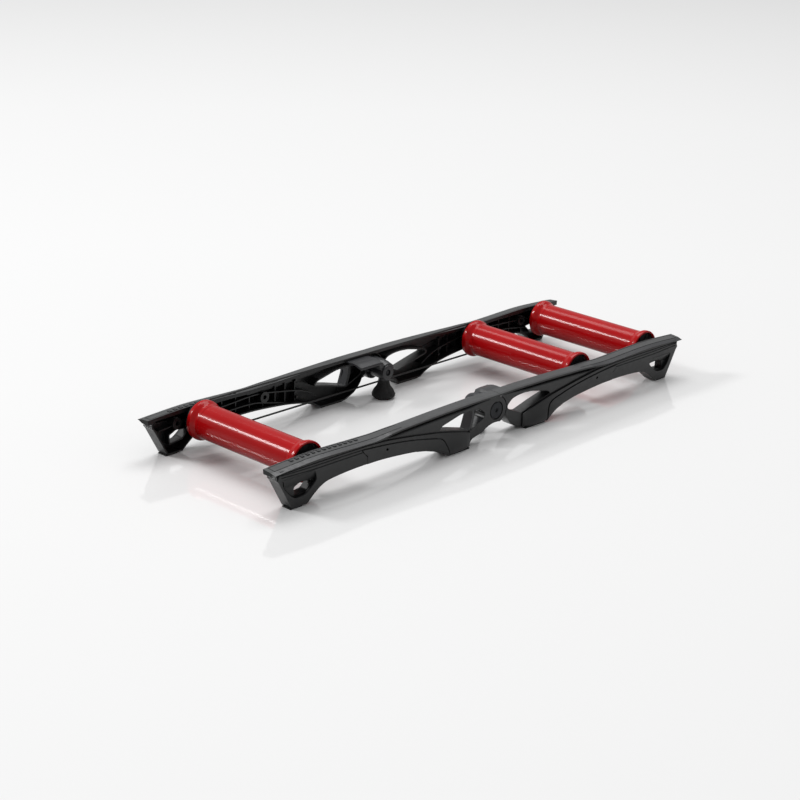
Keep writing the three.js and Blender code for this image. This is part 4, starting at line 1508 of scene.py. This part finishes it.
# %% [markdown]
# ## Floor, light and camera
# The rollers stand on a glossy studio floor that mirrors them. It is white to the camera and
# in mirrors, but grey to all other light, or it would light the undersides too much. A wide
# soft lamp overhead gives the soft shadows, and a smaller one far off beside it draws the
# bright line along the drums. The world fills in the rest.

# %% Floor
def studio_floor():
    made, tree = new_material("glossy_white_floor")
    path = add(tree, "ShaderNodeLightPath").outputs
    seen = path["Is Camera Ray"]
    for kind in ("Is Glossy Ray", "Is Transmission Ray"):
        seen = add(tree, "ShaderNodeMath", links={0: seen, 1: path[kind]},
                   operation="ADD", use_clamp=True).outputs["Value"]
    colour = two_tone(tree, seen, "#8a8a8a", "#fbfbfb")
    shader = add(tree, "ShaderNodeBsdfPrincipled",
                 {"IOR": 1.6, "Roughness": 0.07, "Specular IOR Level": 1.0},
                 {"Base Color": colour})
    close_material(tree, shader)
    return made


floor_reach = 30.0
floor_corners = [(x * floor_reach, y * floor_reach, 0)
                 for x, y in ((-1, -1), (1, -1), (1, 1), (-1, 1))]
floor_mesh = bpy.data.meshes.new("studio_floor")
floor_mesh.from_pydata(floor_corners, [], [(0, 1, 2, 3)])
floor_mesh.materials.append(studio_floor())
floor = bpy.data.objects.new("studio_floor", floor_mesh)
bpy.context.scene.collection.objects.link(floor)
print("floor", 2 * floor_reach, "m across, material", floor_mesh.materials[0].name)

# %% Lamps and world
def lamp(name, place, target, size, power):
    light = bpy.data.lights.new(name, "AREA")
    light.shape = "RECTANGLE"
    light.size, light.size_y = size
    light.energy = power
    made = bpy.data.objects.new(name, light)
    made.location = place
    made.rotation_euler = (Vector(target) - Vector(place)).to_track_quat("-Z", "Y").to_euler()
    bpy.context.scene.collection.objects.link(made)
    return made


lamp("overhead_softbox", (3.5, 3.5, 10), (0, 0, 0), (9, 6), 720)
lamp("drum_strip", (-6.8, 7.9, 6.6), (0, 0, 0.07), (2.4, 1.9), 520)

world = bpy.data.worlds.new("studio_world")
bpy.context.scene.world = world
world.use_nodes = True
sky = world.node_tree.nodes["Background"].inputs
sky["Color"].default_value = (1, 1, 1, 1)
sky["Strength"].default_value = 0.48
print("lamps:", [light.name for light in bpy.data.lights])

# %% [markdown]
# The camera stands in front and to the left of the rollers, a little above them, with a long
# lens, as in the photograph. Its place and tilt were worked out from the straight edges of
# the rollers.

# %% Camera
camera_place = Vector((-3.2327, -3.0130, 1.6230))
camera_right = Vector((0.69946, -0.71413, 0.02785))
camera_up = Vector((0.22398, 0.25605, 0.94036))
sensor = 36.0
focal_pixels, photo_pixels = 1990.86, 800

camera_data = bpy.data.cameras.new("studio_camera")
camera_data.sensor_width = sensor
camera_data.lens = focal_pixels * sensor / photo_pixels
camera = bpy.data.objects.new("studio_camera", camera_data)
camera_axes = (camera_right, camera_up, camera_right.cross(camera_up), camera_place)
camera.matrix_world = Matrix([[v[row] for v in camera_axes] for row in range(3)] + [[0, 0, 0, 1]])
bpy.context.scene.collection.objects.link(camera)
bpy.context.scene.camera = camera
bpy.context.scene.view_settings.view_transform = "Standard"
print("lens", round(camera_data.lens, 1), "mm, camera", round(camera_place.length, 2), "m away")
